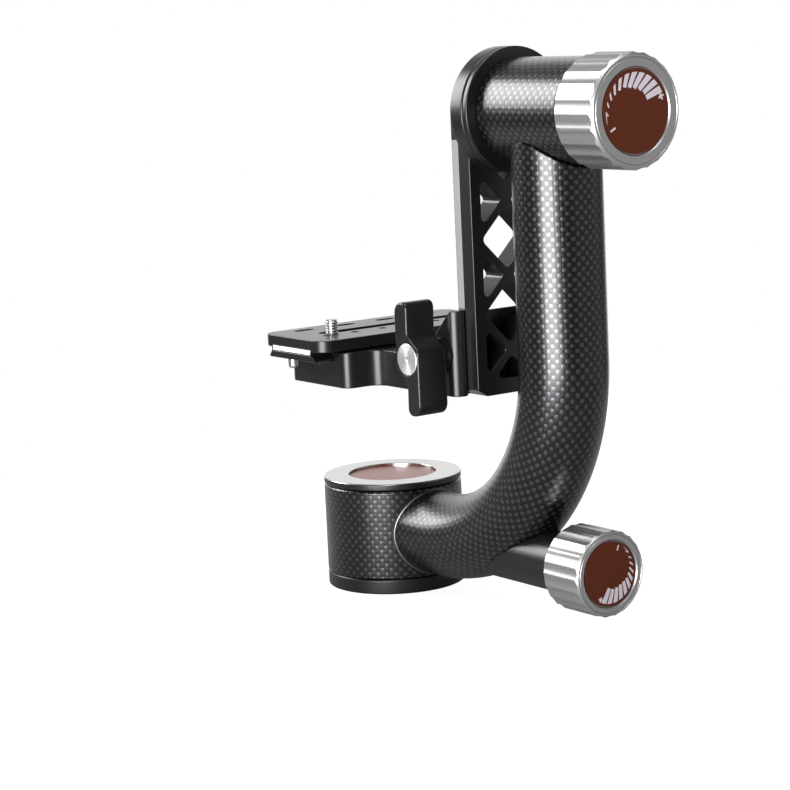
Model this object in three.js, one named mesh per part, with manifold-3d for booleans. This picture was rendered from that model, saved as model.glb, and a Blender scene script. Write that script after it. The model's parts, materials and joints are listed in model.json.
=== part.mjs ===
import * as THREE from 'three';
import { mergeVertices } from 'three/addons/utils/BufferGeometryUtils.js';
import Module from 'manifold-3d';

// Gimbal tripod head: a pan base, a bent carbon tube arm with a tilt bearing at its top,
// a trussed swing arm that hangs from that bearing, and a platform that slides on the swing arm's
// dovetail rail and clamps a camera plate.
// Millimetres, +Z up. The origin is on the pan axis at the underside of the base.
// The tilt axis runs along X, from the swing arm to the tilt lock knob.

// Fits and edges
const gap = 0.3;
const overrun = 1;
const edgeBevel = 0.6;
const fineBevel = 0.4;

// Arm
const tiltAxisHeight = 230.5;
const armReach = 135.3;
const armCentreHeight = 28.9;
const bendRadius = 92;
const tubeRadius = 20;
const tubeWall = 3;

// Base and spindle
const baseRadius = 33.5;
const collarHeight = 7.1;
const shoulderRadius = 14;
const spindleRadius = 11;
const spindleThreadRadius = 8;
const socketInsertRadius = 7.7;
const socketDepth = 14;
const socketRadius = 4.2;

// Pan bearings and their housing
const panBearingRadius = 19.7;
const panBearingWidth = 9;
const panWebRadius = 17;
const panWebHalfHeight = 7.8;
const panLipRadius = 16;
const panNutRadius = 13.5;
const panNutHeight = 3.7;
const capHeight = 3.1;
const capBadgeRadius = 21.1;
const capBadgeThickness = 0.6;
const capRecessDepth = 2;

// Pan lock
const brakePadRadius = 6.7;
const brakePadLength = 7.6;
const brakeBoreDepth = 3.2;
const lockRodRadius = 4;
const lockRodBevel = 0.5;
const bossRadius = 13.5;
const bossRoot = 21.7;
const bossStandOut = 3.1;
const bossEnd = armReach + bossStandOut;
const bushingRadius = 6.7;
const bushingLength = 16;

// Lock knobs
const panKnobRadius = 19.4;
const panKnobDepth = 23.8;
const panKnobBadgeRadius = 14.5;
const panKnobFlutes = 22;
const tiltKnobRadius = 24.7;
const tiltKnobDepth = 24.9;
const tiltKnobBadgeRadius = 17.8;
const tiltKnobFlutes = 24;
const fluteDepth = 0.45;
const ridgeShare = 0.12;
const knobBevel = 1.2;
const knobBadgeThickness = 0.5;
const knobRecessDepth = 1;
const knobScrewDepth = 18;

// Tilt housing, placed along the tilt axis from the arm's upright
const tiltHousingLead = 26.1;
const tiltHousingTail = 28.4;
const tiltHousingStart = armReach - tiltHousingLead;
const tiltHousingEnd = armReach + tiltHousingTail;
const tiltHousingRadius = 23.2;
const tiltSpigotDrop = 45;
const tiltBearingRadius = 17.2;
const tiltBearingWidth = 8;
const tiltWebLength = 21.6;
const tiltWebRadius = 14.6;
const tiltPlugLength = 8.4;

// Tilt shaft and what it carries
const shaftRadius = 9.7;
const shaftCollarRadius = 14;
const spacerWall = 2.4;
const retainingRingWidth = 1.4;
const retainingRingWall = 3;
const shaftTail = 0.8;
const brakeDiscThickness = 2;
const hubScrewRadius = 3.7;
const hubScrewHeadRadius = 6.5;
const hubScrewHeadHeight = 4.9;
const hubScrewReach = 22;
const hexKeyRadius = 3.4;
const hexKeyDepth = 3;

// Swing arm plate and hub disc
const hubRingRoom = 3.8;
const hubFront = tiltHousingStart - hubRingRoom;
const hubThickness = 8.6;
const hubStandOff = 6.9;
const railFront = hubFront - hubStandOff;
const railThickness = 12.7;
const railBack = railFront - railThickness;
const railHalfWidth = 19.7;
const railDrop = 127.6;
const railFootChamferWide = 5.5;
const railFootChamferHigh = 3.3;
const dovetailDepth = 2.45;
const dovetailStop = 12;
const hubRadius = 28.05;
const hubRingNeckRadius = 26.8;
const hubRingNeck = 0.3;
const hubCounterbore = 6;
const hubWeb = 4;

// Truss in the swing arm
const trussHalfWidth = 14;
const trussFirstNode = 40.2;
const trussFootRoom = 20;
const trussNodes = 3;
const trussPitch = (railDrop - trussFirstNode - trussFootRoom) / (trussNodes - 1);
const trussStrut = 3.7;
const trussFootWidth = 7.1;
const trussFloor = railDrop - trussFootWidth;
const trussCorner = 2;
const trussDiamondCorner = 2.6;
const trussTop = 24;
const trussTopVertex = 31.5;

// Platform: clamp body, neck and slide block, as long as the camera plate asks
const plateHalfLength = 55;
const platformBodyBack = 19;
const platformBodyFront = 29.4;
const plateOverhang = 11;
const platformHalfLength = plateHalfLength - plateOverhang;
const platformShelf = 9.75;
const clampFloor = 12.45;
const clampFloorBack = 15;
const clampTop = 16.85;
const neckHalfWidth = 26;
const neckStep = platformHalfLength - neckHalfWidth;
const cornerShare = 0.3;
const filletShare = 0.4;
const platformCorner = neckStep * cornerShare;
const neckFillet = neckStep * filletShare;
const blockTop = 38.95;
const blockTopDepth = 1.2;
const blockTopBack = railBack + blockTopDepth;
const railJawDepth = 15.8;
const railJawBack = railBack - railJawDepth;
const railJawCorner = 5;
const jawPinRadius = 2;
const jawPinDepth = 7;
const jawPinSeat = 3.2;
const jawPinInset = 5;

// Wing knob on the slide block
const wingScrewRoom = 5.2;
const wingAxisX = railBack - wingScrewRoom;
const wingAxisHeight = 18.9;
const wingDepth = 16;
const wingCollarRadius = 8;
const wingCollarHeight = 3.5;
const wingTipSide = 8.6;
const wingTipInner = 0.9;
const wingTipHeight = 25.6;
const wingRootSide = 0.6;
const wingRootHeight = 10.2;
const wingHubSide = 8.4;
const wingHubHeight = 4.4;
const wingRounding = 3.2;
const wingRootRounding = 4.5;
const wingCapRadius = 7.3;
const wingCapHeight = 1.6;
const clampScrewRadius = 3;
const clampScrewReach = 4;

// Camera plate
const plateHalfWidth = 25.75;
const plateCorner = 8;
const plateFlange = 5.6;
const plateHeight = 10.5;
const plateDovetailHalfWidth = 19;
const plateDovetailStep = 2.5;
const plateDovetailLand = 1;
const plateSlotHalfWidth = 3.5;
const plateSlotStart = -34.8;
const plateSlotEnd = 45;
const plateSlotCounterHalfWidth = 7.6;
const plateSlotCounterDepth = 5.2;
const plateHoleRadius = 2;
const plateHoleRow = 9;
const plateHolePitch = 16;
const plateHoleCount = 6;
const plateSlotRow = 17;
const plateSideSlotHalf = 3.4;
const plateSideSlotPitch = 24;
const plateSideSlotCount = 4;
const plateStopInset = 5;
const plateStopOffset = 6;
const plateStopRadius = 2.5;
const plateStopHeight = 4.7;
const plateStopShankRadius = 1.5;
const plateStopShank = 4;
const stripHeight = 2.2;
const stripThickness = 0.7;
const stripBottom = 3.5;

// Camera screw
const cameraScrewPlace = -31.3;
const cameraScrewRadius = 3.1;
const cameraScrewStand = 6;
const cameraScrewHeadRadius = 7;
const cameraScrewHeadHeight = 4.2;
const cameraScrewSlotHalf = 0.7;
const cameraScrewSlotDepth = 1.6;

// Plate clamp jaw and its knob
const plateJawThickness = 10;
const plateJawInset = 14;
const plateJawHalfLength = platformHalfLength - plateJawInset;
const plateJawBottom = 1;
const plateScrewHeight = 5.6;
const plateScrewReach = 26;
const plateKnobRadius = 10.5;
const plateKnobDepth = 18;
const plateKnobFlutes = 12;
const plateKnobStem = 4;
const plateKnobStemRadius = 6;
const platePinSpacing = 20;
const platePinLength = 16;

// Set screw in the slide block, which bears on the rail
const setScrewRadius = 1.6;
const setScrewLength = 10;
const setScrewSide = 10.3;
const setScrewHeight = 17.6;

// Facet counts
const roundSides = 36;
const tubeSides = 14;
const hiddenSides = 20;
const smallSides = 12;
const bendSteps = 12;
const cornerSteps = 2;
const fluteSteps = 3;
const quarter = Math.PI / 2;
const weld = 0.0005;

const wasm = await Module();
wasm.setup();

// Geometry to solid and back

function volumeSign(places, corners) {
  const [a, b, c] = [new THREE.Vector3(), new THREE.Vector3(), new THREE.Vector3()];
  let total = 0;
  for (let i = 0; i < corners.length; i += 3) {
    a.fromArray(places, corners[i] * 3);
    b.fromArray(places, corners[i + 1] * 3);
    c.fromArray(places, corners[i + 2] * 3);
    total += a.dot(b.cross(c));
  }
  return Math.sign(total);
}

function solid(geometry) {
  const bare = geometry.clone();
  bare.deleteAttribute('normal');
  bare.deleteAttribute('uv');
  const welded = mergeVertices(bare, weld);
  const index = welded.index.array;
  const places = welded.attributes.position.array;
  const corners = [];
  for (let i = 0; i < index.length; i += 3) {
    const [a, b, c] = [index[i], index[i + 1], index[i + 2]];
    if (a !== b && b !== c && c !== a) corners.push(a, b, c);
  }
  if (volumeSign(places, corners) < 0) corners.reverse();
  const mesh = new wasm.Mesh({
    numProp: 3,
    vertProperties: Float32Array.from(places),
    triVerts: Uint32Array.from(corners),
  });
  return new wasm.Manifold(mesh);
}

function asSolid(piece) {
  return piece.isBufferGeometry ? solid(piece) : piece;
}

function join(first, ...rest) {
  return rest.reduce((sum, piece) => sum.add(asSolid(piece)), asSolid(first));
}

function cut(first, ...rest) {
  return rest.reduce((left, piece) => left.subtract(asSolid(piece)), asSolid(first));
}

function common(first, second) {
  return asSolid(first).intersect(asSolid(second));
}

function surface(shape) {
  const mesh = shape.getMesh();
  const geometry = new THREE.BufferGeometry();
  const places = Float32Array.from(mesh.vertProperties);
  geometry.setAttribute('position', new THREE.BufferAttribute(places, mesh.numProp));
  geometry.setIndex(new THREE.BufferAttribute(Uint32Array.from(mesh.triVerts), 1));
  geometry.computeVertexNormals();
  return geometry;
}

// Shapes that several pieces share; each is built about or along Z

function revolve(profile, sides) {
  const points = profile.map(([radius, height]) => new THREE.Vector2(radius, height));
  return new THREE.LatheGeometry(points, sides).rotateX(quarter);
}

function rod(radius, low, high, bevel, sides) {
  return revolve([
    [0, low], [radius - bevel, low], [radius, low + bevel],
    [radius, high - bevel], [radius - bevel, high], [0, high],
  ], sides);
}

function ring(inner, outer, low, high, bevel, sides) {
  return revolve([
    [inner, low + bevel], [inner + bevel, low], [outer - bevel, low], [outer, low + bevel],
    [outer, high - bevel], [outer - bevel, high], [inner + bevel, high], [inner, high - bevel],
    [inner, low + bevel],
  ], sides);
}

function plainRing(inner, outer, low, high, sides) {
  return revolve([[inner, low], [outer, low], [outer, high], [inner, high], [inner, low]], sides);
}

function bore(radius, low, high, sides) {
  const length = high - low;
  const cylinder = new THREE.CylinderGeometry(radius, radius, length, sides);
  return cylinder.rotateX(quarter).translate(0, 0, low + length / 2);
}

function box(lowX, highX, lowY, highY, lowZ, highZ) {
  const block = new THREE.BoxGeometry(highX - lowX, highY - lowY, highZ - lowZ);
  return block.translate((lowX + highX) / 2, (lowY + highY) / 2, (lowZ + highZ) / 2);
}

function prism(shape, low, high, curveSegments = cornerSteps) {
  const options = { depth: high - low, bevelEnabled: false, curveSegments };
  return new THREE.ExtrudeGeometry(shape, options).translate(0, 0, low);
}

function alongX(geometry) {
  return geometry.rotateY(quarter);
}

function alongMinusY(geometry) {
  return geometry.rotateX(quarter);
}

// A shape drawn in Y and Z, extruded along X
function sideOn(geometry) {
  const turn = new THREE.Matrix4().makeBasis(
    new THREE.Vector3(0, 1, 0), new THREE.Vector3(0, 0, 1), new THREE.Vector3(1, 0, 0));
  return geometry.applyMatrix4(turn);
}

// An outline from corners [x, y, radius], each rounded with an arc of that radius
function outline(corners) {
  const shape = new THREE.Shape();
  corners.forEach(([x, y, radius = 0], i) => {
    const here = new THREE.Vector2(x, y);
    const back = new THREE.Vector2(...corners.at(i - 1)).sub(here).normalize();
    const ahead = new THREE.Vector2(...corners[(i + 1) % corners.length]).sub(here).normalize();
    if (radius === 0) {
      if (i === 0) shape.moveTo(x, y);
      else shape.lineTo(x, y);
      return;
    }
    const half = Math.acos(THREE.MathUtils.clamp(back.dot(ahead), -1, 1)) / 2;
    const centre = back.clone().add(ahead).normalize();
    centre.multiplyScalar(radius / Math.sin(half)).add(here);
    const start = back.clone().multiplyScalar(radius / Math.tan(half)).add(here).sub(centre);
    const end = ahead.clone().multiplyScalar(radius / Math.tan(half)).add(here).sub(centre);
    const clockwise = back.y * ahead.x - back.x * ahead.y < 0;
    shape.absarc(centre.x, centre.y, radius, start.angle(), end.angle(), clockwise);
  });
  return shape;
}

// Scene helpers

const finishes = {
  carbon: { color: 0x2b2b2d, roughness: 0.38, metalness: 0.2 },
  blackAnodised: { color: 0x1b1b1e, roughness: 0.42, metalness: 0.6 },
  silver: { color: 0xc9c9c7, roughness: 0.32, metalness: 0.9 },
  steel: { color: 0xb4b5b6, roughness: 0.3, metalness: 1 },
  badge: { color: 0x5a2617, roughness: 0.35, metalness: 0.3 },
  capRing: { color: 0xb9b3ab, roughness: 0.3, metalness: 0.6 },
  brass: { color: 0xb08a45, roughness: 0.35, metalness: 0.9 },
  nylon: { color: 0xd8d4c8, roughness: 0.6, metalness: 0 },
};

function part(parent, name, shape, finish) {
  const mesh = new THREE.Mesh(surface(asSolid(shape)), new THREE.MeshStandardMaterial(finishes[finish]));
  mesh.name = name;
  parent.add(mesh);
  return mesh;
}

function groupAt(parent, x, y, z) {
  const group = new THREE.Group();
  group.position.set(x, y, z);
  parent.add(group);
  return group;
}

const head = new THREE.Group();

// Base: the fixed collar and spindle with a threaded steel socket

const webBottom = armCentreHeight - panWebHalfHeight;
const webTop = armCentreHeight + panWebHalfHeight;
const lowerBearingTop = webBottom - gap;
const lowerBearingBottom = lowerBearingTop - panBearingWidth;
const upperBearingBottom = webTop + gap;
const upperBearingTop = upperBearingBottom + panBearingWidth;
const shoulderTop = lowerBearingBottom - gap;
const spindleSeatTop = upperBearingTop - gap;
const panNutBottom = upperBearingTop + gap;
const panNutTop = panNutBottom + panNutHeight;
const insertBore = socketInsertRadius + gap;

function panBase() {
  const insertTop = gap + socketDepth + gap;
  return revolve([
    [0, insertTop], [insertBore, insertTop], [insertBore, 0],
    [baseRadius - edgeBevel, 0], [baseRadius, edgeBevel],
    [baseRadius, collarHeight - edgeBevel], [baseRadius - edgeBevel, collarHeight],
    [shoulderRadius, collarHeight], [shoulderRadius, shoulderTop],
    [spindleRadius, shoulderTop], [spindleRadius, spindleSeatTop],
    [spindleThreadRadius, spindleSeatTop], [spindleThreadRadius, panNutTop], [0, panNutTop],
  ], roundSides);
}

part(head, 'pan_base', panBase(), 'blackAnodised');
part(head, 'tripod_socket', ring(socketRadius, socketInsertRadius, gap, gap + socketDepth,
  fineBevel, smallSides), 'steel');
part(head, 'pan_bearing_lower', plainRing(spindleRadius + gap, panBearingRadius, lowerBearingBottom,
  lowerBearingTop, hiddenSides), 'steel');
part(head, 'pan_bearing_upper', plainRing(spindleRadius + gap, panBearingRadius, upperBearingBottom,
  upperBearingTop, hiddenSides), 'steel');
part(head, 'pan_retaining_nut', plainRing(spindleThreadRadius + gap, panNutRadius, panNutBottom,
  panNutTop, hiddenSides), 'steel');

// Pan housing with its spigot for the arm tube

const housingBottom = collarHeight + gap;
const housingTop = panNutTop + gap;
const bendStart = armReach - bendRadius;
const spigotRadius = tubeRadius - tubeWall - gap;
const rodBore = lockRodRadius + gap;
const pan = new THREE.Group();
head.add(pan);

function alongArm(geometry) {
  return alongX(geometry).translate(0, 0, armCentreHeight);
}

function panHousing() {
  const seat = panBearingRadius + gap;
  const shell = revolve([
    [panLipRadius, housingBottom], [baseRadius - edgeBevel, housingBottom],
    [baseRadius, housingBottom + edgeBevel], [baseRadius, housingTop - edgeBevel],
    [baseRadius - edgeBevel, housingTop], [seat, housingTop], [seat, webTop],
    [panWebRadius, webTop], [panWebRadius, webBottom], [seat, webBottom],
    [seat, shoulderTop], [panLipRadius, shoulderTop], [panLipRadius, housingBottom],
  ], roundSides);
  const spigotRoot = seat + edgeBevel;
  const spigot = alongArm(rod(spigotRadius, spigotRoot, bendStart, edgeBevel, hiddenSides));
  const padBore = alongArm(bore(brakePadRadius + gap, spindleRadius, seat + brakeBoreDepth, smallSides));
  const rodHole = alongArm(bore(rodBore, spindleRadius, baseRadius + bendStart, smallSides));
  return cut(join(shell, spigot), padBore, rodHole);
}

const capBottom = housingTop + gap;
const capTop = capBottom + capHeight;
const capFloor = capTop - capRecessDepth;

function panCap() {
  const recess = capBadgeRadius + gap;
  return revolve([
    [0, capBottom], [baseRadius - edgeBevel, capBottom], [baseRadius, capBottom + edgeBevel],
    [baseRadius, capTop - edgeBevel], [baseRadius - edgeBevel, capTop], [recess, capTop],
    [recess, capFloor], [0, capFloor],
  ], roundSides);
}

part(pan, 'pan_housing', panHousing(), 'carbon');
part(pan, 'pan_cap', panCap(), 'capRing');
part(pan, 'pan_cap_badge', bore(capBadgeRadius, capFloor + gap, capFloor + gap + capBadgeThickness,
  roundSides), 'badge');

// Arm tube: a straight run out of the pan housing, a quarter bend and the upright

class ArmPath extends THREE.Curve {
  constructor(start, end) {
    super();
    this.start = start;
    this.end = end;
  }

  getPoint(t, target = new THREE.Vector3()) {
    const stretch = t * (bendSteps + 2) - 1;
    const bendTop = armCentreHeight + bendRadius;
    if (stretch < 0) return target.set(bendStart + stretch * (bendStart - this.start), 0, armCentreHeight);
    if (stretch > bendSteps) {
      return target.set(armReach, 0, bendTop + (stretch - bendSteps) * (this.end - bendTop));
    }
    const angle = quarter * stretch / bendSteps;
    return target.set(bendStart + bendRadius * Math.sin(angle), 0, bendTop - bendRadius * Math.cos(angle));
  }

  // Steps stay where getPoint puts them: one for each straight run, the rest in the bend
  getUtoTmapping(u) {
    return u;
  }
}

function armSweep(outer, inner) {
  const section = new THREE.Shape();
  section.absarc(0, 0, outer, 0, 4 * quarter, false);
  if (inner > 0) {
    const hole = new THREE.Path();
    hole.absarc(0, 0, inner, 0, 4 * quarter, true);
    section.holes.push(hole);
  }
  const path = new ArmPath(bendStart - tubeRadius, tiltAxisHeight);
  return new THREE.ExtrudeGeometry(section, {
    steps: bendSteps + 2, extrudePath: path, bevelEnabled: false, curveSegments: tubeSides,
  });
}

function alongTilt(geometry) {
  return alongX(geometry).translate(0, 0, tiltAxisHeight);
}

const panSaddle = bore(baseRadius + gap, 0, housingTop + bendRadius, roundSides);
const tiltSaddle = alongTilt(bore(tiltHousingRadius + gap, tiltHousingStart, tiltHousingEnd, roundSides));
const bendRodHole = alongArm(bore(rodBore, bendStart, bossEnd, smallSides));

part(pan, 'arm_tube', cut(armSweep(tubeRadius, tubeRadius - tubeWall), panSaddle, tiltSaddle, bendRodHole),
  'carbon');

// Pan lock: boss on the outside of the bend, bushing, and the pad that grips the spindle

function panLockBoss() {
  const blank = alongArm(rod(bossRadius, bendStart + bossRoot, bossEnd, edgeBevel, hiddenSides));
  const bushingBore = alongArm(bore(bushingRadius + gap, bossEnd - bushingLength, bossEnd + overrun,
    smallSides));
  return cut(blank, armSweep(tubeRadius + gap, 0), bendRodHole, bushingBore);
}

const padStart = spindleRadius + gap;
const padEnd = padStart + brakePadLength;

part(pan, 'pan_lock_boss', panLockBoss(), 'blackAnodised');
part(pan, 'pan_lock_bushing', alongArm(ring(rodBore, bushingRadius, bossEnd - bushingLength + gap,
  bossEnd, fineBevel, smallSides)), 'brass');
part(pan, 'pan_brake_pad', alongArm(rod(brakePadRadius, padStart, padEnd, fineBevel, smallSides)), 'nylon');

// Lock knobs: a fluted cylinder with a recessed badge, built along +Z from its back face

function flutedOutline(radius, flutes) {
  const shape = new THREE.Shape();
  const pitch = 4 * quarter / flutes;
  const at = (turn, distance) => [Math.cos(turn) * distance, Math.sin(turn) * distance];
  shape.moveTo(...at(-ridgeShare * pitch / 2, radius));
  for (let i = 0; i < flutes; i += 1) {
    const turn = i * pitch;
    shape.lineTo(...at(turn + ridgeShare * pitch / 2, radius));
    const dip = radius * Math.cos(pitch / 2) - 2 * fluteDepth;
    shape.quadraticCurveTo(...at(turn + pitch / 2, dip), ...at(turn + pitch - ridgeShare * pitch / 2, radius));
  }
  return shape;
}

function flutedBody(radius, depth, flutes, bevel) {
  const options = {
    depth: depth - 2 * bevel, bevelEnabled: true, bevelThickness: bevel, bevelSize: bevel,
    bevelOffset: -bevel, bevelSegments: 1, curveSegments: fluteSteps,
  };
  return new THREE.ExtrudeGeometry(flutedOutline(radius, flutes), options).translate(0, 0, bevel);
}

function lockKnob(radius, depth, flutes, badgeRadius) {
  const recess = bore(badgeRadius + gap, depth - knobRecessDepth, depth + overrun, roundSides);
  const screwBore = bore(rodBore, -overrun, knobScrewDepth + gap, smallSides);
  return cut(flutedBody(radius, depth, flutes, knobBevel), recess, screwBore);
}

function knobBadge(depth, badgeRadius) {
  const low = depth - knobRecessDepth + gap;
  return bore(badgeRadius, low, low + knobBadgeThickness, roundSides);
}

const panKnobBack = bossEnd + gap;
const panKnob = groupAt(pan, panKnobBack, 0, armCentreHeight);
panKnob.rotation.y = quarter;

part(panKnob, 'pan_lock_knob', lockKnob(panKnobRadius, panKnobDepth, panKnobFlutes, panKnobBadgeRadius),
  'silver');
part(panKnob, 'pan_knob_badge', knobBadge(panKnobDepth, panKnobBadgeRadius), 'badge');
part(panKnob, 'pan_lock_rod', rod(lockRodRadius, padEnd + gap - panKnobBack, knobScrewDepth, lockRodBevel,
  smallSides), 'steel');

// Tilt housing with its spigot down into the upright, bearings and end plug

const tiltSeat = tiltBearingRadius + gap;
const tiltFrontBearingStart = tiltHousingStart + gap;
const tiltWebStart = tiltFrontBearingStart + tiltBearingWidth + gap;
const tiltWebEnd = tiltWebStart + tiltWebLength;
const tiltRearBearingStart = tiltWebEnd + gap;
const tiltRearBearingEnd = tiltRearBearingStart + tiltBearingWidth;
const retainingRingStart = tiltRearBearingEnd + gap;
const shaftEnd = retainingRingStart + retainingRingWidth + shaftTail;
const brakeDiscStart = shaftEnd + gap;
const tiltScrewTip = brakeDiscStart + brakeDiscThickness + gap;
const tiltKnobBack = tiltHousingEnd + gap;

function tiltHousing() {
  const barrel = alongX(rod(tiltHousingRadius, tiltHousingStart, tiltHousingEnd, edgeBevel, roundSides));
  const spigot = rod(spigotRadius, -tiltSpigotDrop, 0, edgeBevel, hiddenSides).translate(armReach, 0, 0);
  const frontSeat = alongX(bore(tiltSeat, tiltHousingStart - overrun, tiltWebStart, hiddenSides));
  const webBore = alongX(bore(tiltWebRadius, tiltWebStart - overrun, tiltWebEnd + overrun, hiddenSides));
  const rearSeat = alongX(bore(tiltSeat, tiltWebEnd, tiltHousingEnd + overrun, hiddenSides));
  return cut(join(barrel, spigot), frontSeat, webBore, rearSeat);
}

const tilt = groupAt(pan, 0, 0, tiltAxisHeight);

part(tilt, 'tilt_housing', tiltHousing(), 'carbon');
part(tilt, 'tilt_bearing_front', alongX(plainRing(shaftRadius + gap, tiltBearingRadius,
  tiltFrontBearingStart, tiltFrontBearingStart + tiltBearingWidth, hiddenSides)), 'steel');
part(tilt, 'tilt_bearing_rear', alongX(plainRing(shaftRadius + gap, tiltBearingRadius,
  tiltRearBearingStart, tiltRearBearingEnd, hiddenSides)), 'steel');
part(tilt, 'tilt_brake_disc', alongX(rod(tiltBearingRadius, brakeDiscStart, brakeDiscStart
  + brakeDiscThickness, fineBevel, hiddenSides)), 'nylon');
part(tilt, 'tilt_end_plug', alongX(plainRing(rodBore, tiltBearingRadius, tiltHousingEnd - gap
  - tiltPlugLength, tiltHousingEnd - gap, hiddenSides)), 'blackAnodised');

const tiltKnob = groupAt(tilt, tiltKnobBack, 0, 0);
tiltKnob.rotation.y = quarter;

part(tiltKnob, 'tilt_lock_knob', lockKnob(tiltKnobRadius, tiltKnobDepth, tiltKnobFlutes,
  tiltKnobBadgeRadius), 'silver');
part(tiltKnob, 'tilt_knob_badge', knobBadge(tiltKnobDepth, tiltKnobBadgeRadius), 'badge');
part(tiltKnob, 'tilt_lock_screw', rod(lockRodRadius, tiltScrewTip - tiltKnobBack, knobScrewDepth,
  lockRodBevel, smallSides), 'steel');

// Swing arm: trussed plate with dovetail edges, and the hub disc that the shaft is screwed to

const swing = groupAt(tilt, 0, 0, 0);
const counterboreEnd = railBack + hubCounterbore;
const shaftSocketStart = counterboreEnd + hubWeb;
const shaftStart = shaftSocketStart + gap;
const strutReach = trussStrut / Math.SQRT2;

function plateOutline() {
  return outline([
    [-railHalfWidth, railHalfWidth, railHalfWidth], [-railHalfWidth, railFootChamferHigh - railDrop],
    [railFootChamferWide - railHalfWidth, -railDrop], [railHalfWidth - railFootChamferWide, -railDrop],
    [railHalfWidth, railFootChamferHigh - railDrop], [railHalfWidth, railHalfWidth, railHalfWidth],
  ]);
}

// Openings of the truss, drawn in Y and Z: a triangle on each side of every node,
// diamonds between nodes, a triangle cut flat at the bottom and one under the hub
function trussOpenings() {
  const openings = [];
  const sideReach = trussHalfWidth - strutReach;
  for (let i = 0; i < trussNodes; i += 1) {
    const node = -trussFirstNode - i * trussPitch;
    for (const side of [-1, 1]) {
      openings.push(outline([
        [side * strutReach, node, trussCorner], [side * trussHalfWidth, node + sideReach, trussCorner],
        [side * trussHalfWidth, node - sideReach, trussCorner],
      ]));
    }
    if (i < trussNodes - 1) {
      const middle = node - trussPitch / 2;
      const reach = trussPitch / 2 - strutReach;
      openings.push(outline([
        [0, middle + reach, trussDiamondCorner], [reach, middle, trussDiamondCorner],
        [0, middle - reach, trussDiamondCorner], [-reach, middle, trussDiamondCorner],
      ]));
    }
  }
  const lastNode = -trussFirstNode - (trussNodes - 1) * trussPitch;
  const footReach = trussFloor + lastNode - strutReach;
  openings.push(outline([
    [0, lastNode - strutReach, trussCorner], [footReach, -trussFloor, trussCorner],
    [-footReach, -trussFloor, trussCorner],
  ]));
  const topReach = trussTopVertex - trussTop;
  openings.push(outline([
    [0, -trussTopVertex, fineBevel], [topReach, -trussTop, fineBevel], [-topReach, -trussTop, fineBevel],
  ]));
  return openings;
}

function dovetailGroove(side) {
  const groove = outline([
    [railBack, side * railHalfWidth], [railBack + dovetailDepth, side * (railHalfWidth - dovetailDepth)],
    [railBack + 2 * dovetailDepth, side * railHalfWidth],
    [railBack + 2 * dovetailDepth, side * (railHalfWidth + overrun)],
    [railBack, side * (railHalfWidth + overrun)],
  ]);
  return prism(groove, -railDrop - overrun, -dovetailStop);
}

function swingArm() {
  const plate = sideOn(prism(plateOutline(), railBack, railFront, 2 * cornerSteps));
  const openings = trussOpenings().map((shape) =>
    sideOn(prism(shape, railBack - overrun, railFront + overrun)));
  const trussed = cut(plate, ...openings, dovetailGroove(1), dovetailGroove(-1));
  const disc = alongX(rod(hubRadius, hubFront - hubThickness, hubFront, edgeBevel, roundSides));
  const counterbore = alongX(bore(hubScrewHeadRadius + gap, railBack - overrun, counterboreEnd, smallSides));
  const screwHole = alongX(bore(hubScrewRadius + gap, counterboreEnd - overrun, hubFront, smallSides));
  const shaftBore = alongX(bore(shaftRadius + gap, shaftSocketStart, hubFront + overrun, hiddenSides));
  return cut(join(trussed, disc), counterbore, screwHole, shaftBore);
}

function hubRing() {
  const start = hubFront + gap;
  const step = start + hubRingNeck;
  const end = tiltHousingStart - gap;
  const inner = shaftCollarRadius + gap;
  return alongX(revolve([
    [inner, start], [hubRingNeckRadius, start], [hubRingNeckRadius, step], [hubRadius - fineBevel, step],
    [hubRadius, step + fineBevel], [hubRadius, end - edgeBevel], [hubRadius - edgeBevel, end],
    [inner, end], [inner, start],
  ], roundSides));
}

function tiltShaft() {
  const blank = alongX(revolve([
    [0, shaftStart], [shaftRadius, shaftStart], [shaftRadius, hubFront + gap],
    [shaftCollarRadius, hubFront + gap], [shaftCollarRadius, tiltHousingStart],
    [shaftRadius, tiltHousingStart], [shaftRadius, shaftEnd - fineBevel], [shaftRadius - fineBevel, shaftEnd],
    [0, shaftEnd],
  ], hiddenSides));
  const threadEnd = shaftStart + hubScrewReach;
  return cut(blank, alongX(bore(hubScrewRadius + gap, shaftStart - overrun, threadEnd, smallSides)));
}

function hubScrew() {
  const headEnd = counterboreEnd - gap;
  const headStart = headEnd - hubScrewHeadHeight;
  const blank = alongX(revolve([
    [0, headStart], [hubScrewHeadRadius - fineBevel, headStart], [hubScrewHeadRadius, headStart + fineBevel],
    [hubScrewHeadRadius, headEnd], [hubScrewRadius, headEnd],
    [hubScrewRadius, shaftStart + hubScrewReach - overrun], [0, shaftStart + hubScrewReach - overrun],
  ], smallSides));
  return cut(blank, alongX(bore(hexKeyRadius, headStart - overrun, headStart + hexKeyDepth, 6)));
}

part(swing, 'swing_arm', swingArm(), 'blackAnodised');
part(swing, 'swing_hub_ring', hubRing(), 'blackAnodised');
part(swing, 'tilt_shaft', tiltShaft(), 'steel');
part(swing, 'shaft_spacer', alongX(plainRing(shaftRadius + gap, shaftRadius + gap + spacerWall,
  tiltWebStart, tiltWebEnd, hiddenSides)), 'steel');
part(swing, 'shaft_retaining_ring', alongX(plainRing(shaftRadius + gap, shaftRadius + gap
  + retainingRingWall, retainingRingStart, retainingRingStart + retainingRingWidth, hiddenSides)), 'steel');
part(swing, 'swing_hub_screw', hubScrew(), 'steel');

// Platform: clamp body, neck and slide block, drawn from the underside up

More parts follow.
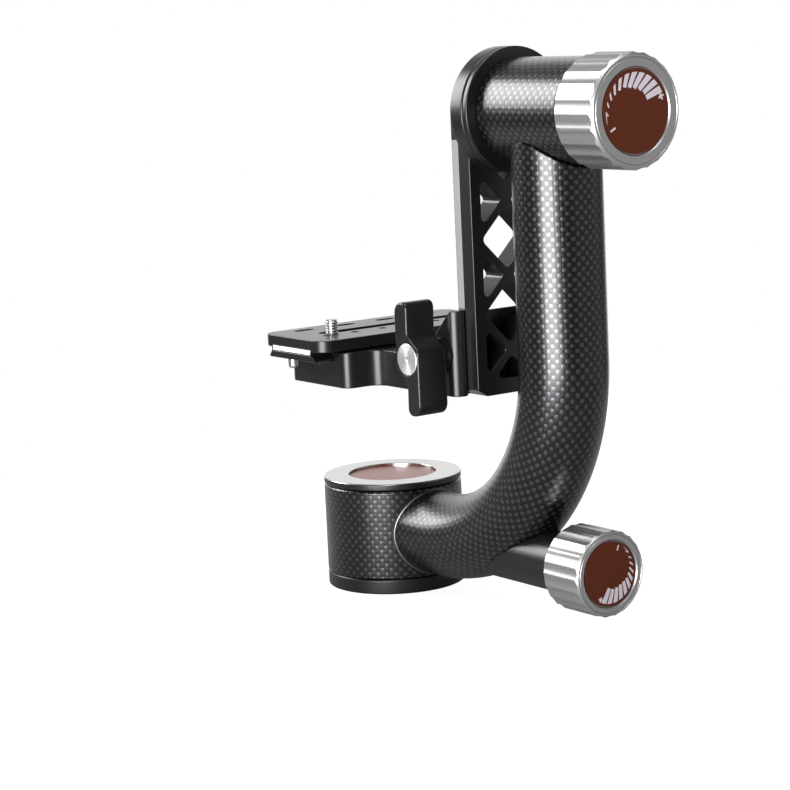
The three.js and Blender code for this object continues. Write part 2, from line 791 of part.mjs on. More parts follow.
const cradle = groupAt(swing, 0, 0, -railDrop);
const slotFloor = railBack - gap;
const flankShift = gap * Math.SQRT2;
const jawFront = railBack + 2 * dovetailDepth - gap;
const railJawInside = railHalfWidth + gap + gap / 2;
const blockSide = railJawInside - gap;
const grooveTip = railBack + dovetailDepth;
const grooveTipWidth = railHalfWidth - dovetailDepth + flankShift;

function platformPlan() {
  return outline([
    [-platformBodyBack, -platformHalfLength, platformCorner],
    [platformBodyFront, -platformHalfLength, platformCorner],
    [platformBodyFront, -neckHalfWidth, neckFillet],
    [jawFront, -neckHalfWidth], [jawFront, neckHalfWidth, railJawCorner],
    [platformBodyFront, neckHalfWidth, neckFillet],
    [platformBodyFront, platformHalfLength, platformCorner],
    [-platformBodyBack, platformHalfLength, platformCorner],
  ]);
}

const plateWaist = plateDovetailHalfWidth - plateDovetailStep;
const plateBottom = clampFloor + gap;
const clampWall = plateDovetailHalfWidth + gap;
const clampLip = plateWaist + gap;
const clampLandTop = plateBottom + plateDovetailLand + flankShift - gap;
const clampLipStart = clampLandTop + plateDovetailStep;

function platformSide() {
  return outline([
    [-platformBodyBack, 0], [jawFront, 0], [jawFront, blockTop], [blockTopBack, blockTop],
    [blockTopBack - (blockTop - clampTop), clampTop], [clampLip, clampTop], [clampLip, clampLipStart],
    [clampWall, clampLandTop], [clampWall, clampFloor], [-clampFloorBack, clampFloor],
    [-clampFloorBack, platformShelf], [-platformBodyBack, platformShelf],
  ]);
}

// The space that the rail and the moving jaw take out of the slide block, drawn in X and Y
function railChannel() {
  const outside = neckHalfWidth + overrun;
  const tipY = grooveTipWidth;
  const mouthY = tipY + (jawFront - grooveTip);
  return outline([
    [slotFloor, -outside], [jawFront + overrun, -outside], [jawFront + overrun, mouthY + overrun],
    [jawFront, mouthY], [grooveTip, tipY], [slotFloor, tipY + (grooveTip - slotFloor)],
  ]);
}

function railJawOutline() {
  const tipY = grooveTipWidth;
  return outline([
    [railJawBack, -neckHalfWidth], [jawFront, -neckHalfWidth, railJawCorner],
    [jawFront, -tipY - (jawFront - grooveTip)], [grooveTip, -tipY],
    [grooveTip - (railJawInside - tipY), -railJawInside], [railJawBack, -railJawInside],
  ]);
}

function slopedTop() {
  const wide = neckHalfWidth + overrun;
  return prism(platformSide(), -wide, wide).rotateX(quarter);
}

function clampScrewHole(radius, low, high) {
  return alongMinusY(bore(radius, low, high, smallSides)).translate(wingAxisX, 0, wingAxisHeight);
}

const jawPinHeights = [jawPinInset, blockTop - jawPinInset - (blockTopBack - railJawBack) / 2];
const jawPinX = (railJawBack + slotFloor) / 2;

function jawPinAt(height, shape) {
  return alongMinusY(shape).translate(jawPinX - (height > wingAxisHeight ? -jawPinRadius : jawPinRadius),
    0, height);
}

function setScrewAt(geometry) {
  return alongX(geometry).translate(0, setScrewSide, setScrewHeight);
}

function platform() {
  const plan = prism(platformPlan(), 0, blockTop + overrun);
  const reach = platformHalfLength + overrun;
  const side = prism(platformSide(), -reach, reach).rotateX(quarter);
  const channel = prism(railChannel(), -overrun, blockTop + overrun);
  const jawRoom = box(railJawBack - gap, jawFront + overrun, -neckHalfWidth - overrun, -blockSide,
    -overrun, blockTop + overrun);
  const screwHole = clampScrewHole(clampScrewRadius + gap, -clampScrewReach, neckHalfWidth);
  const pinHoles = jawPinHeights.map((height) => jawPinAt(height,
    bore(jawPinRadius + gap, blockSide - jawPinDepth - gap, blockSide + overrun, smallSides)));
  const plateScrewHole = alongX(bore(clampScrewRadius + gap, -platformBodyBack - overrun,
    plateScrewReach - platformBodyBack, smallSides)).translate(0, 0, plateScrewHeight);
  const platePinHoles = [-1, 1].map((end) => alongX(bore(jawPinRadius + gap, -platformBodyBack - overrun,
    platePinLength / 2 - platformBodyBack + gap, smallSides))
    .translate(0, end * platePinSpacing, plateScrewHeight));
  const setScrewHole = setScrewAt(bore(setScrewRadius + gap, slotFloor - gap - setScrewLength,
    jawFront, smallSides));
  return cut(common(plan, side), channel, jawRoom, screwHole, ...pinHoles, plateScrewHole,
    ...platePinHoles, setScrewHole);
}

part(cradle, 'platform', platform(), 'blackAnodised');
part(cradle, 'block_set_screw', setScrewAt(rod(setScrewRadius, slotFloor - setScrewLength,
  slotFloor - gap, fineBevel, smallSides)), 'steel');

// Rail jaw, which the wing knob pulls against the dovetail, and its guide pins

function railJaw() {
  const blank = common(prism(railJawOutline(), 0, blockTop), slopedTop());
  const screwHole = clampScrewHole(clampScrewRadius + gap, 0, neckHalfWidth + overrun);
  const pinHoles = jawPinHeights.map((height) => jawPinAt(height,
    bore(jawPinRadius + gap, 0, railJawInside + jawPinSeat, smallSides)));
  return cut(blank, screwHole, ...pinHoles);
}

const railJawGroup = groupAt(cradle, 0, 0, 0);
part(railJawGroup, 'rail_jaw', railJaw(), 'blackAnodised');
['lower', 'upper'].forEach((place, i) => {
  const low = blockSide - jawPinDepth;
  const high = railJawInside + jawPinSeat - gap;
  part(cradle, `rail_jaw_pin_${place}`, jawPinAt(jawPinHeights[i],
    rod(jawPinRadius, low, high, fineBevel, smallSides)), 'steel');
});

// Wing knob: an S-shaped pair of lobes on a collar, built along +Z from its back face

function wingOutline() {
  const half = [
    [-wingTipSide, wingTipHeight, wingRounding], [-wingHubSide, -wingHubHeight, wingRounding],
    [-wingRootSide, -wingRootHeight, wingRootRounding], [-wingTipInner, -wingTipHeight, wingRounding],
  ];
  return outline([...half, ...half.map(([x, y, radius]) => [-x, -y, radius])]);
}

function wingKnob() {
  const wing = prism(wingOutline(), wingCollarHeight, wingCollarHeight + wingDepth);
  const collar = rod(wingCollarRadius, 0, wingCollarHeight + overrun, fineBevel, hiddenSides);
  const front = wingCollarHeight + wingDepth;
  const capRecess = bore(wingCapRadius + gap, front - wingCapHeight, front + overrun, hiddenSides);
  const screwBore = bore(clampScrewRadius + gap, -overrun, front - wingCapHeight - 2 * overrun, smallSides);
  return cut(join(wing, collar), capRecess, screwBore);
}

const wing = groupAt(railJawGroup, wingAxisX, -neckHalfWidth - gap, wingAxisHeight);
wing.rotation.x = quarter;
const wingFront = wingCollarHeight + wingDepth;
const wingCapFloor = wingFront - wingCapHeight + gap;

part(wing, 'wing_knob', wingKnob(), 'blackAnodised');
part(wing, 'wing_knob_cap', revolve([
  [0, wingCapFloor], [wingCapRadius, wingCapFloor], [wingCapRadius, wingFront - fineBevel],
  [wingCapRadius - fineBevel, wingFront], [0, wingFront],
], hiddenSides), 'silver');
part(wing, 'wing_knob_screw', rod(clampScrewRadius, -neckHalfWidth - clampScrewReach + overrun,
  wingFront - wingCapHeight - 2 * overrun - gap, fineBevel, smallSides), 'steel');

// Plate clamp on the far side: jaw, guide pins, screw and knob

const plateJawFace = platformBodyBack + gap;
const plateJawBack = plateJawFace + plateJawThickness;

function plateJawSide() {
  return outline([
    [-plateJawBack, plateJawBottom, fineBevel], [-plateJawFace, plateJawBottom],
    [-plateJawFace, clampLandTop], [-clampLip, clampLipStart], [-clampLip, clampTop],
    [-plateJawBack, clampTop, edgeBevel],
  ]);
}

function plateJaw() {
  const blank = prism(plateJawSide(), -plateJawHalfLength, plateJawHalfLength).rotateX(quarter);
  const low = -plateJawBack - overrun;
  const screwHole = alongX(bore(clampScrewRadius + gap, low, overrun - plateJawFace, smallSides))
    .translate(0, 0, plateScrewHeight);
  const pinHoles = [-1, 1].map((end) => alongX(bore(jawPinRadius + gap, -plateJawFace - platePinLength / 2
    - gap, overrun - plateJawFace, smallSides)).translate(0, end * platePinSpacing, plateScrewHeight));
  return cut(blank, screwHole, ...pinHoles);
}

const plateJawGroup = groupAt(cradle, 0, 0, 0);
part(plateJawGroup, 'plate_jaw', plateJaw(), 'blackAnodised');
['near', 'far'].forEach((place, i) => {
  const pin = alongX(rod(jawPinRadius, -plateJawFace - platePinLength / 2, platePinLength / 2
    - platformBodyBack, fineBevel, smallSides));
  part(cradle, `plate_jaw_pin_${place}`, pin.translate(0, (2 * i - 1) * platePinSpacing, plateScrewHeight),
    'steel');
});

function plateKnobBody() {
  const stem = rod(plateKnobStemRadius, 0, plateKnobStem + overrun, fineBevel, smallSides);
  const grip = flutedBody(plateKnobRadius, plateKnobDepth, plateKnobFlutes, fineBevel)
    .translate(0, 0, plateKnobStem);
  const screwBore = bore(clampScrewRadius + gap, -overrun, plateKnobStem + plateKnobDepth / 2, smallSides);
  return cut(join(stem, grip), screwBore);
}

const plateKnob = groupAt(plateJawGroup, -plateJawBack - gap, 0, plateScrewHeight);
plateKnob.rotation.y = -quarter;
const plateScrewTip = plateScrewReach - platformBodyBack - overrun;

part(plateKnob, 'plate_clamp_knob', plateKnobBody(), 'blackAnodised');
part(plateKnob, 'plate_clamp_screw', rod(clampScrewRadius, -plateJawBack - gap - plateScrewTip,
  plateKnobStem + plateKnobDepth / 2 - gap, fineBevel, smallSides), 'steel');

// Camera plate, drawn from its underside up

const plate = groupAt(cradle, 0, 0, plateBottom);

function plateSide() {
  const flangeBottom = plateHeight - plateFlange;
  const dovetailTop = plateDovetailLand + plateDovetailStep;
  const right = [
    [plateDovetailHalfWidth, 0], [plateDovetailHalfWidth, plateDovetailLand], [plateWaist, dovetailTop],
    [plateWaist, flangeBottom], [plateHalfWidth, flangeBottom], [plateHalfWidth, plateHeight],
  ];
  return outline([...right, ...right.map(([x, y]) => [-x, y]).reverse()]);
}

function slotShape(centreX, halfWidth, start, end) {
  return outline([
    [centreX - halfWidth, start, halfWidth], [centreX + halfWidth, start, halfWidth],
    [centreX + halfWidth, end, halfWidth], [centreX - halfWidth, end, halfWidth],
  ]);
}

function rowPlace(i, count, pitch) {
  return (i - (count - 1) / 2) * pitch;
}

const stripRoom = plateHalfLength - stripThickness - gap;

function quickPlate() {
  const reach = plateHalfLength + overrun;
  const side = prism(plateSide(), -reach, reach).rotateX(quarter);
  const flangePlan = outline([-1, 1].flatMap((x) => [
    [x * plateHalfWidth, -x * plateHalfLength, plateCorner],
    [x * plateHalfWidth, x * plateHalfLength, plateCorner],
  ]).reverse());
  const flangeBottom = plateHeight - plateFlange;
  const flangeSpace = prism(flangePlan, flangeBottom, plateHeight + overrun);
  const dovetailSpace = box(-plateHalfWidth, plateHalfWidth, -plateHalfLength, plateHalfLength,
    -overrun, flangeBottom);
  const blank = common(side, join(flangeSpace, dovetailSpace));
  const slot = prism(slotShape(0, plateSlotHalfWidth, plateSlotStart, plateSlotEnd), 0, plateHeight + overrun);
  const counter = prism(slotShape(0, plateSlotCounterHalfWidth, plateSlotStart - plateSlotHalfWidth - gap,
    plateSlotEnd + plateSlotHalfWidth), -overrun, plateSlotCounterDepth);
  const holes = [];
  for (let i = 0; i < plateHoleCount; i += 1) {
    holes.push(bore(plateHoleRadius, -overrun, plateHeight + overrun, smallSides)
      .translate(plateHoleRow, rowPlace(i, plateHoleCount, plateHolePitch), 0));
  }
  for (let i = 0; i < plateSideSlotCount; i += 1) {
    const middle = rowPlace(i, plateSideSlotCount, plateSideSlotPitch);
    holes.push(prism(slotShape(-plateSlotRow, plateHoleRadius, middle - plateSideSlotHalf,
      middle + plateSideSlotHalf), plateHeight / 2, plateHeight + overrun));
  }
  for (const end of [-1, 1]) {
    holes.push(bore(plateStopShankRadius + gap, -overrun, plateStopShank + gap, smallSides)
      .translate(end * plateStopOffset, end * (plateHalfLength - plateStopInset), 0));
  }
  const stripSlot = box(-plateWaist + gap, plateWaist - gap, -reach, -stripRoom, stripBottom - gap,
    stripBottom + stripHeight + gap);
  return cut(blank, slot, counter, ...holes, stripSlot);
}

function plateStopScrew(end) {
  return revolve([
    [0, -gap - plateStopHeight], [plateStopRadius - edgeBevel, -gap - plateStopHeight],
    [plateStopRadius, edgeBevel - gap - plateStopHeight], [plateStopRadius, -gap - edgeBevel],
    [plateStopRadius - edgeBevel, -gap], [plateStopShankRadius, -gap],
    [plateStopShankRadius, plateStopShank], [0, plateStopShank],
  ], smallSides).translate(end * plateStopOffset, end * (plateHalfLength - plateStopInset), 0);
}

function cameraScrew() {
  const headTop = plateSlotCounterDepth - gap;
  const headBottom = headTop - cameraScrewHeadHeight;
  const tip = plateHeight + cameraScrewStand;
  const blank = revolve([
    [0, headBottom], [cameraScrewHeadRadius - fineBevel, headBottom],
    [cameraScrewHeadRadius, headBottom + fineBevel], [cameraScrewHeadRadius, headTop],
    [cameraScrewRadius, headTop], [cameraScrewRadius, tip - edgeBevel], [cameraScrewRadius - edgeBevel, tip],
    [0, tip],
  ], smallSides);
  const slot = box(-cameraScrewHeadRadius, cameraScrewHeadRadius, -cameraScrewSlotHalf, cameraScrewSlotHalf,
    headBottom - overrun, headBottom + cameraScrewSlotDepth);
  return cut(blank, slot);
}

part(plate, 'quick_plate', quickPlate(), 'blackAnodised');
part(plate, 'plate_end_strip', box(-plateWaist + 2 * gap, plateWaist - 2 * gap, -plateHalfLength,
  -stripRoom - gap, stripBottom, stripBottom + stripHeight), 'silver');
part(plate, 'plate_stop_screw_near', plateStopScrew(-1), 'steel');
part(plate, 'plate_stop_screw_far', plateStopScrew(1), 'steel');
part(plate, 'camera_screw', cameraScrew(), 'steel').position.y = cameraScrewPlace;

export default head;
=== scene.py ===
# %% [markdown]
# # A gimbal tripod head
# A gimbal head carries a long lens so that it balances. A housing turns on a fixed base, a bent
# carbon tube rises from it, and a swing arm hangs from a bearing at the tube's top.
# The CAD model holds the true sizes. This lesson dresses it: each visible part is modelled again
# at a fine resolution with Blender's own tools, and gets a procedural material.

import json
import math

import bpy
from mathutils import Matrix, Vector


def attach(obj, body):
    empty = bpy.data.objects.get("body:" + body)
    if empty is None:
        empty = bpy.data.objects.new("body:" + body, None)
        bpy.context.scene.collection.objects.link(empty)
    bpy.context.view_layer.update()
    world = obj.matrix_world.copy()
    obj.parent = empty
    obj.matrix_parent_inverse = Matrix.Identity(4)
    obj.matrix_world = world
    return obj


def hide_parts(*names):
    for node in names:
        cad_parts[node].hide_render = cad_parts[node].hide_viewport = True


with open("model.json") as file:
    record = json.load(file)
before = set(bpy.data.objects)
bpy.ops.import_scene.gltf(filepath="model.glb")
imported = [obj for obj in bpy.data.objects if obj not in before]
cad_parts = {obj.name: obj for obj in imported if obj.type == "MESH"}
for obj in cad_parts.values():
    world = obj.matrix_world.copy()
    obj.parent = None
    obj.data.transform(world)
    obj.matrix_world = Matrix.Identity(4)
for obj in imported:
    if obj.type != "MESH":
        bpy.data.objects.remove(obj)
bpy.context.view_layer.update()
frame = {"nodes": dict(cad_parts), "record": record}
MM = 0.001


def pick(*pieces):
    """Selects only these pieces, since operators act on all that is selected."""
    bpy.ops.object.select_all(action="DESELECT")
    for piece in pieces:
        piece.select_set(True)
    if pieces:
        bpy.context.view_layer.objects.active = pieces[0]

# %% [markdown]
# ## The camera
# The photograph was taken with a long lens from the right and a little above. The camera's place,
# turn and lens were solved from the circles on the object, so the render lines up with the photo.
# A camera looks along its own -Z, so its matrix has the columns right, up and back.

# %% Camera
CAMERA_AZIMUTH, CAMERA_ELEVATION, CAMERA_ROLL = (math.radians(v) for v in (54.84, 9.08, -2.7))
CAMERA_PLACE = Vector((957.02, -670.36, 278.12)) * MM
SENSOR_WIDTH, LENS = 36, 110.75


def towards(azimuth, elevation):
    """The direction from the object to an observer; azimuth 0 looks along +Y."""
    flat = math.cos(elevation)
    return Vector((math.sin(azimuth) * flat, -math.cos(azimuth) * flat, math.sin(elevation)))


pick()
bpy.ops.object.camera_add()
camera = bpy.context.object
camera.name = "photo_camera"
back = towards(CAMERA_AZIMUTH, CAMERA_ELEVATION)
level = Vector((math.cos(CAMERA_AZIMUTH), math.sin(CAMERA_AZIMUTH), 0))
rise = back.cross(level)
right = level * math.cos(CAMERA_ROLL) + rise * math.sin(CAMERA_ROLL)
up = rise * math.cos(CAMERA_ROLL) - level * math.sin(CAMERA_ROLL)
turn = Matrix((right, up, back)).transposed()
camera.matrix_world = Matrix.Translation(CAMERA_PLACE) @ turn.to_4x4()
camera.data.sensor_width = SENSOR_WIDTH
camera.data.lens = LENS
bpy.context.scene.camera = camera

# %% [markdown]
# ## Colours and nodes
# Colours are written as the sRGB values that the eye reads on a screen, and Blender wants linear
# light, so one function turns one into the other. A second one adds a shader node with its
# settings and links, which keeps each material short to read.

# %% Colour and node helpers
def linear(hex_colour):
    """An sRGB hex colour as linear RGBA."""
    parts = [int(hex_colour[i:i + 2], 16) / 255 for i in (1, 3, 5)]
    light = [v / 12.92 if v <= 0.04045 else ((v + 0.055) / 1.055) ** 2.4 for v in parts]
    return (*light, 1)


def add(tree, kind, inputs=None, **settings):
    """Adds a shader node; inputs gives a value or another node's output for each socket."""
    node = tree.nodes.new("ShaderNode" + kind)
    for name, value in settings.items():
        setattr(node, name, value)
    for socket, value in (inputs or {}).items():
        if isinstance(value, bpy.types.NodeSocket):
            tree.links.new(value, node.inputs[socket])
        else:
            node.inputs[socket].default_value = value
    return node


def new_material(name, colour, metallic, roughness, **sockets):
    """A material with one Principled shader, and its tree and shader for more nodes."""
    material = bpy.data.materials.new(name)
    material.use_nodes = True
    shader = material.node_tree.nodes["Principled BSDF"]
    shader.inputs["Base Color"].default_value = linear(colour)
    shader.inputs["Metallic"].default_value = metallic
    shader.inputs["Roughness"].default_value = roughness
    for socket, value in sockets.items():
        shader.inputs[socket.replace("_", " ")].default_value = value
    return material, material.node_tree, shader


def emboss(tree, shader, height, depth, strength):
    """Gives a shader relief: a height's value times a depth in mm."""
    bump = add(tree, "Bump", {"Height": height, "Distance": depth * MM, "Strength": strength})
    tree.links.new(bump.outputs[0], shader.inputs["Normal"])

# %% [markdown]
# ## Studio
# The object stands on a small white table before a white background. A low softbox left of the
# camera draws the long soft highlight down the carbon tube. A second one further left lights the
# edges that face away, and a third one overhead grazes the tops. Two cards are seen only by
# reflections: a grey one at the right tones the knob faces, and a white one behind gives level
# tops their glare. The world is white to the camera, dim as a light, and nearly dark to a
# reflection, which keeps the black parts black. The table glows for the camera alone, so it
# blends into the background and throws no extra light up.

# %% World and table
AMBIENT, MIRRORED = 0.4, 0.14
TABLE_GLOW, TABLE_SIZE, TABLE_PLACE = 0.9, 0.9, (0.05, 0, -0.0002)
SKY_WHITE = "#f4f6fa"

world = bpy.data.worlds.new("studio")
bpy.context.scene.world = world
world.use_nodes = True
tree = world.node_tree
tree.nodes.clear()
dim, dark, white = [
    add(tree, "Background", {"Color": linear(colour), "Strength": strength}).outputs[0]
    for colour, strength in ((SKY_WHITE, AMBIENT), (SKY_WHITE, MIRRORED), ("#ffffff", 1))]
path = add(tree, "LightPath")
lit = add(tree, "MixShader", {0: path.outputs["Is Glossy Ray"], 1: dim, 2: dark})
sky = add(tree, "MixShader", {0: path.outputs["Is Camera Ray"], 1: lit.outputs[0], 2: white})
add(tree, "OutputWorld", {0: sky.outputs[0]})

pick()
bpy.ops.mesh.primitive_plane_add(size=TABLE_SIZE, location=TABLE_PLACE)
table = bpy.context.object
table.name = "table"
paper, tree, shader = new_material("matt_white_table", "#9a9a9a", 0, 0.9)
shader.inputs["Specular IOR Level"].default_value = 0
glow = add(tree, "Emission", {"Color": linear("#ffffff"), "Strength": TABLE_GLOW})
unlit = add(tree, "Emission", {"Strength": 0})
path = add(tree, "LightPath")
shown = add(tree, "MixShader", {0: path.outputs["Is Camera Ray"], 1: unlit.outputs[0],
                                2: glow.outputs[0]})
both = add(tree, "AddShader", {0: shader.outputs[0], 1: shown.outputs[0]})
tree.links.new(both.outputs[0], tree.nodes["Material Output"].inputs[0])
table.data.materials.append(paper)

# %% Softboxes and cards
CENTRE = Vector((0.05, 0, 0.14))


def softbox(name, azimuth, elevation, distance, width, height, watts):
    """An area lamp that faces the object."""
    pick()
    bpy.ops.object.light_add(type="AREA")
    lamp = bpy.context.object
    lamp.name = name
    away = towards(math.radians(azimuth), math.radians(elevation))
    lamp.location = CENTRE + away * distance
    lamp.rotation_euler = away.to_track_quat("Z", "Y").to_euler()
    lamp.data.shape = "RECTANGLE"
    lamp.data.size, lamp.data.size_y = width, height
    lamp.data.energy = watts


softbox("key_softbox", 29, -2, 1.3, 0.8, 0.56, 22.5)
softbox("left_softbox", -60, 25, 1.4, 0.6, 0.8, 14)
softbox("top_softbox", 60, 78, 1.3, 0.8, 0.8, 9)


def card(name, azimuth, elevation, distance, width, height, colour):
    """A glowing card that only reflections see."""
    pick()
    bpy.ops.mesh.primitive_plane_add(size=1)
    sheet = bpy.context.object
    sheet.name = name
    away = towards(math.radians(azimuth), math.radians(elevation))
    facing = away.to_track_quat("Z", "Y").to_matrix().to_4x4()
    sheet.matrix_world = (Matrix.Translation(CENTRE + away * distance) @ facing
                          @ Matrix.Diagonal((width, height, 1, 1)))
    paint, tree, shader = new_material(name + "_paint", "#000000", 0, 1)
    tree.links.new(add(tree, "Emission", {"Color": linear(colour), "Strength": 1}).outputs[0],
                   tree.nodes["Material Output"].inputs[0])
    sheet.data.materials.append(paint)
    for ray in ("camera", "diffuse", "shadow", "transmission"):
        setattr(sheet, "visible_" + ray, False)


card("grey_card", 125, 0, 0.75, 1.1, 1.1, "#a1a1a1")
card("white_card", 235, 12, 1.2, 1.7, 1.2, "#ffffff")

# %% [markdown]
# ## Carbon fibre
# The tube and both housings are wound from plain-weave carbon cloth under a satin clear coat.
# Each bundle of fibres is about 2.2 mm wide. Where a crosswise bundle passes over, it catches the
# lamp as a pale dot, and the bundle that passes under stays dark.
# The product of two sines is a chequer of soft pillows, positive and negative in turn. Its sign
# picks the bundle and its size gives the relief. It reads the piece's own UV map, which holds
# cells of the weave, so that the cloth follows the bend. Near the base the weave's colour is
# painted weaker, so its dots are dimmer there: painted shade, since the lamps reach the low parts
# less.

# %% Carbon material
TOW_WIDTH, WEAVE_RELIEF = 2.2, 0.18
SHADED_WEAVE_END, LIT_WEAVE_START, SHADED_WEAVE_SHARE, UNEVEN = 56, 84, 0.6, 0.22
carbon, tree, shader = new_material("woven_carbon_fibre", "#1c1c1e", 0.85, 0.33,
                                    Coat_Weight=1, Coat_Roughness=0.26)
cells = add(tree, "UVMap", uv_map="weave")
split = add(tree, "SeparateXYZ", {0: cells.outputs[0]})
waves = []
for cell in split.outputs[:2]:
    turns = add(tree, "Math", {0: cell, 1: math.pi}, operation="MULTIPLY")
    waves.append(add(tree, "Math", {0: turns.outputs[0]}, operation="SINE").outputs[0])
pillow = add(tree, "Math", {0: waves[0], 1: waves[1]}, operation="MULTIPLY")
# Painted shade: near the base the weave's colour is scaled down, so its pale dots are dimmer there.
clear = add(tree, "MapRange", {"Value": split.outputs[1], 1: SHADED_WEAVE_END / TOW_WIDTH,
                               2: LIT_WEAVE_START / TOW_WIDTH, 3: SHADED_WEAVE_SHARE, 4: 1})
seen = add(tree, "Math", {0: pillow.outputs[0], 1: clear.outputs[0]}, operation="MULTIPLY")
uneven = add(tree, "TexNoise", {"Vector": cells.outputs[0], "Scale": 0.35, "Detail": 2})
worn = add(tree, "MapRange", {"Value": uneven.outputs[0], 3: -UNEVEN, 4: UNEVEN})
tone = add(tree, "Math", {0: seen.outputs[0], 1: worn.outputs[0]}, operation="ADD")
ramp = add(tree, "ValToRGB", {0: tone.outputs[0]})
for stop, (at, colour) in zip(ramp.color_ramp.elements, ((0.02, "#131315"), (0.6, "#514f54"))):
    stop.position, stop.color = at, linear(colour)
tree.links.new(ramp.outputs[0], shader.inputs["Base Color"])
relief = add(tree, "Math", {0: pillow.outputs[0]}, operation="ABSOLUTE")
emboss(tree, shader, relief.outputs[0], WEAVE_RELIEF, 0.55)

# %% [markdown]
# ## Metals
# The black parts are machined aluminium, blasted with fine beads, anodised and dyed. The eye sees
# a dark metal with a soft sheen that varies a little, and no grain, since 0.1 mm beads are finer
# than a pixel. They are drawn at 0.6 mm, faintly, so that the sheen still breaks up.
# The knobs are the same metal left clear, and their faces carry the rings of the lathe tool,
# 0.45 mm apart, which spread a highlight into a fan. Steel is turned bright and brass is a warm
# yellow. The badges are brown under a soft glare. They, the nylon, the white strip and the
# scale's marks aren't metallic to the light, so their colour stays even.

# %% Black anodised aluminium
BEAD, PATCH, BEAD_DEPTH = 0.6, 40, 0.02
black, tree, shader = new_material("black_anodised_aluminium", "#1b1a1e", 0.5, 0.36,
                                   Coat_Weight=0.6, Coat_Roughness=0.28)
place = add(tree, "TexCoord").outputs["Object"]
grain = add(tree, "TexNoise", {"Vector": place, "Scale": 1 / (BEAD * MM), "Detail": 3})
cloud = add(tree, "TexNoise", {"Vector": place, "Scale": 1 / (PATCH * MM), "Detail": 2})
sheen = add(tree, "MapRange", {"Value": cloud.outputs[0], 3: 0.31, 4: 0.42})
tree.links.new(sheen.outputs[0], shader.inputs["Roughness"])
emboss(tree, shader, grain.outputs[0], BEAD_DEPTH, 0.35)

# %% Turned metals
RING_PITCH, TOOL_GRAIN, HAZE_PATCH = 0.45, 1.2, 25
RING_DEPTH, FAINT_DEPTH = 0.006, 0.002


def turned_metal(name, colour, roughness, centre=(0, 0, 0), axis=2, depth=RING_DEPTH, metallic=1):
    """Metal with the fine rings of a lathe about an axis, which is the index of X, Y or Z."""
    material, tree, shader = new_material(name, colour, metallic, roughness)
    place = add(tree, "TexCoord").outputs["Object"]
    shifted = add(tree, "VectorMath", {0: place, 1: [v * MM for v in centre]},
                  operation="SUBTRACT")
    flat = add(tree, "VectorMath", {0: shifted.outputs[0], 1: [float(i != axis) for i in range(3)]},
               operation="MULTIPLY")
    reach = add(tree, "VectorMath", {0: flat.outputs[0]}, operation="LENGTH")
    turns = add(tree, "Math", {0: reach.outputs["Value"], 1: 2 * math.pi / (RING_PITCH * MM)},
                operation="MULTIPLY")
    rings = add(tree, "Math", {0: turns.outputs[0]}, operation="SINE")
    grain = add(tree, "TexNoise", {"Vector": place, "Scale": 1 / (TOOL_GRAIN * MM), "Detail": 3})
    height = add(tree, "Math", {0: rings.outputs[0], 1: grain.outputs[0]}, operation="ADD")
    emboss(tree, shader, height.outputs[0], depth, 0.8)
    cloud = add(tree, "TexNoise", {"Vector": place, "Scale": 1 / (HAZE_PATCH * MM), "Detail": 2})
    haze = add(tree, "MapRange", {"Value": cloud.outputs[0], 3: roughness - 0.04,
                                  4: roughness + 0.05})
    tree.links.new(haze.outputs[0], shader.inputs["Roughness"])
    return material


TILT_HEIGHT, ARM_HEIGHT, RAIL_DROP = 230.5, 28.9, 127.6
PLATFORM_BOTTOM = TILT_HEIGHT - RAIL_DROP
WING_HEIGHT = 18.9
WING_X, WING_Z = 80.6, PLATFORM_BOTTOM + WING_HEIGHT
even = {"depth": FAINT_DEPTH, "metallic": 0}
tilt_silver = turned_metal("clear_anodised_tilt_knob", "#d0cfce", 0.4, (0, 0, TILT_HEIGHT), 0)
pan_silver = turned_metal("clear_anodised_pan_knob", "#d0cfce", 0.4, (0, 0, ARM_HEIGHT), 0)
wing_silver = turned_metal("turned_aluminium_wing_cap", "#f2f2f2", 0.4, (WING_X, 0, WING_Z), 1,
                           RING_DEPTH * 5)
cap_silver = turned_metal("turned_aluminium_cap_ring", "#d6d5d4", 0.22)
# Pale grey for the joint's bead, a painted highlight.
bead_highlight_paint = turned_metal("pale_bead_painted_highlight", "#9b999d", 0.34)
steel = turned_metal("bright_steel", "#cbccce", 0.32)
brass = turned_metal("machined_brass", "#b6914e", 0.3, (0, 0, ARM_HEIGHT), 0)
nylon = turned_metal("natural_nylon", "#d9d4c6", 0.5, metallic=0)
white_strip = turned_metal("white_end_strip", "#f4f2f4", 0.4, **even)
mark_paint = turned_metal("bare_metal_marks", "#cfc6ce", 0.4, **even)
cap_brown = turned_metal("brown_cap_badge", "#a5553f", 0.26, **even)
badge_brown = turned_metal("brown_anodised_badge", "#562614", 0.3, **even)
badge_brown.node_tree.nodes["Principled BSDF"].inputs["Specular IOR Level"].default_value = 0.2

# %% [markdown]
# ## Outlines, slabs and turned shapes
# Nearly every part of the head was either turned on a lathe or milled from a plate. So two tools
# make most of the model. Both start from a circle primitive whose vertices are moved onto a drawn
# outline: one fills it and extrudes it, the other spins it round an axis. Corners are rounded in
# the outline itself, because a rounded corner always catches a line of light.

# %% Outline helper
def rounded(corners, steps=4):
    """Points of a closed outline from corners (x, y, radius), in mm; a radius may be left out."""
    points = []
    for i, corner in enumerate(corners):
        here, radius = Vector(corner[:2]), corner[2] if len(corner) > 2 else 0
        before = (Vector(corners[i - 1][:2]) - here).normalized()
        after = (Vector(corners[(i + 1) % len(corners)][:2]) - here).normalized()
        half = math.acos(max(-1, min(1, before.dot(after)))) / 2
        if radius == 0 or half > math.pi / 2 - 0.01:
            points.append(here)
            continue
        centre = here + (before + after).normalized() * radius / math.sin(half)
        start = here + before * radius / math.tan(half) - centre
        end = here + after * radius / math.tan(half) - centre
        sweep = start.angle_signed(end)
        for k in range(steps + 1):
            points.append(centre + Matrix.Rotation(-sweep * k / steps, 2) @ start)
    return points


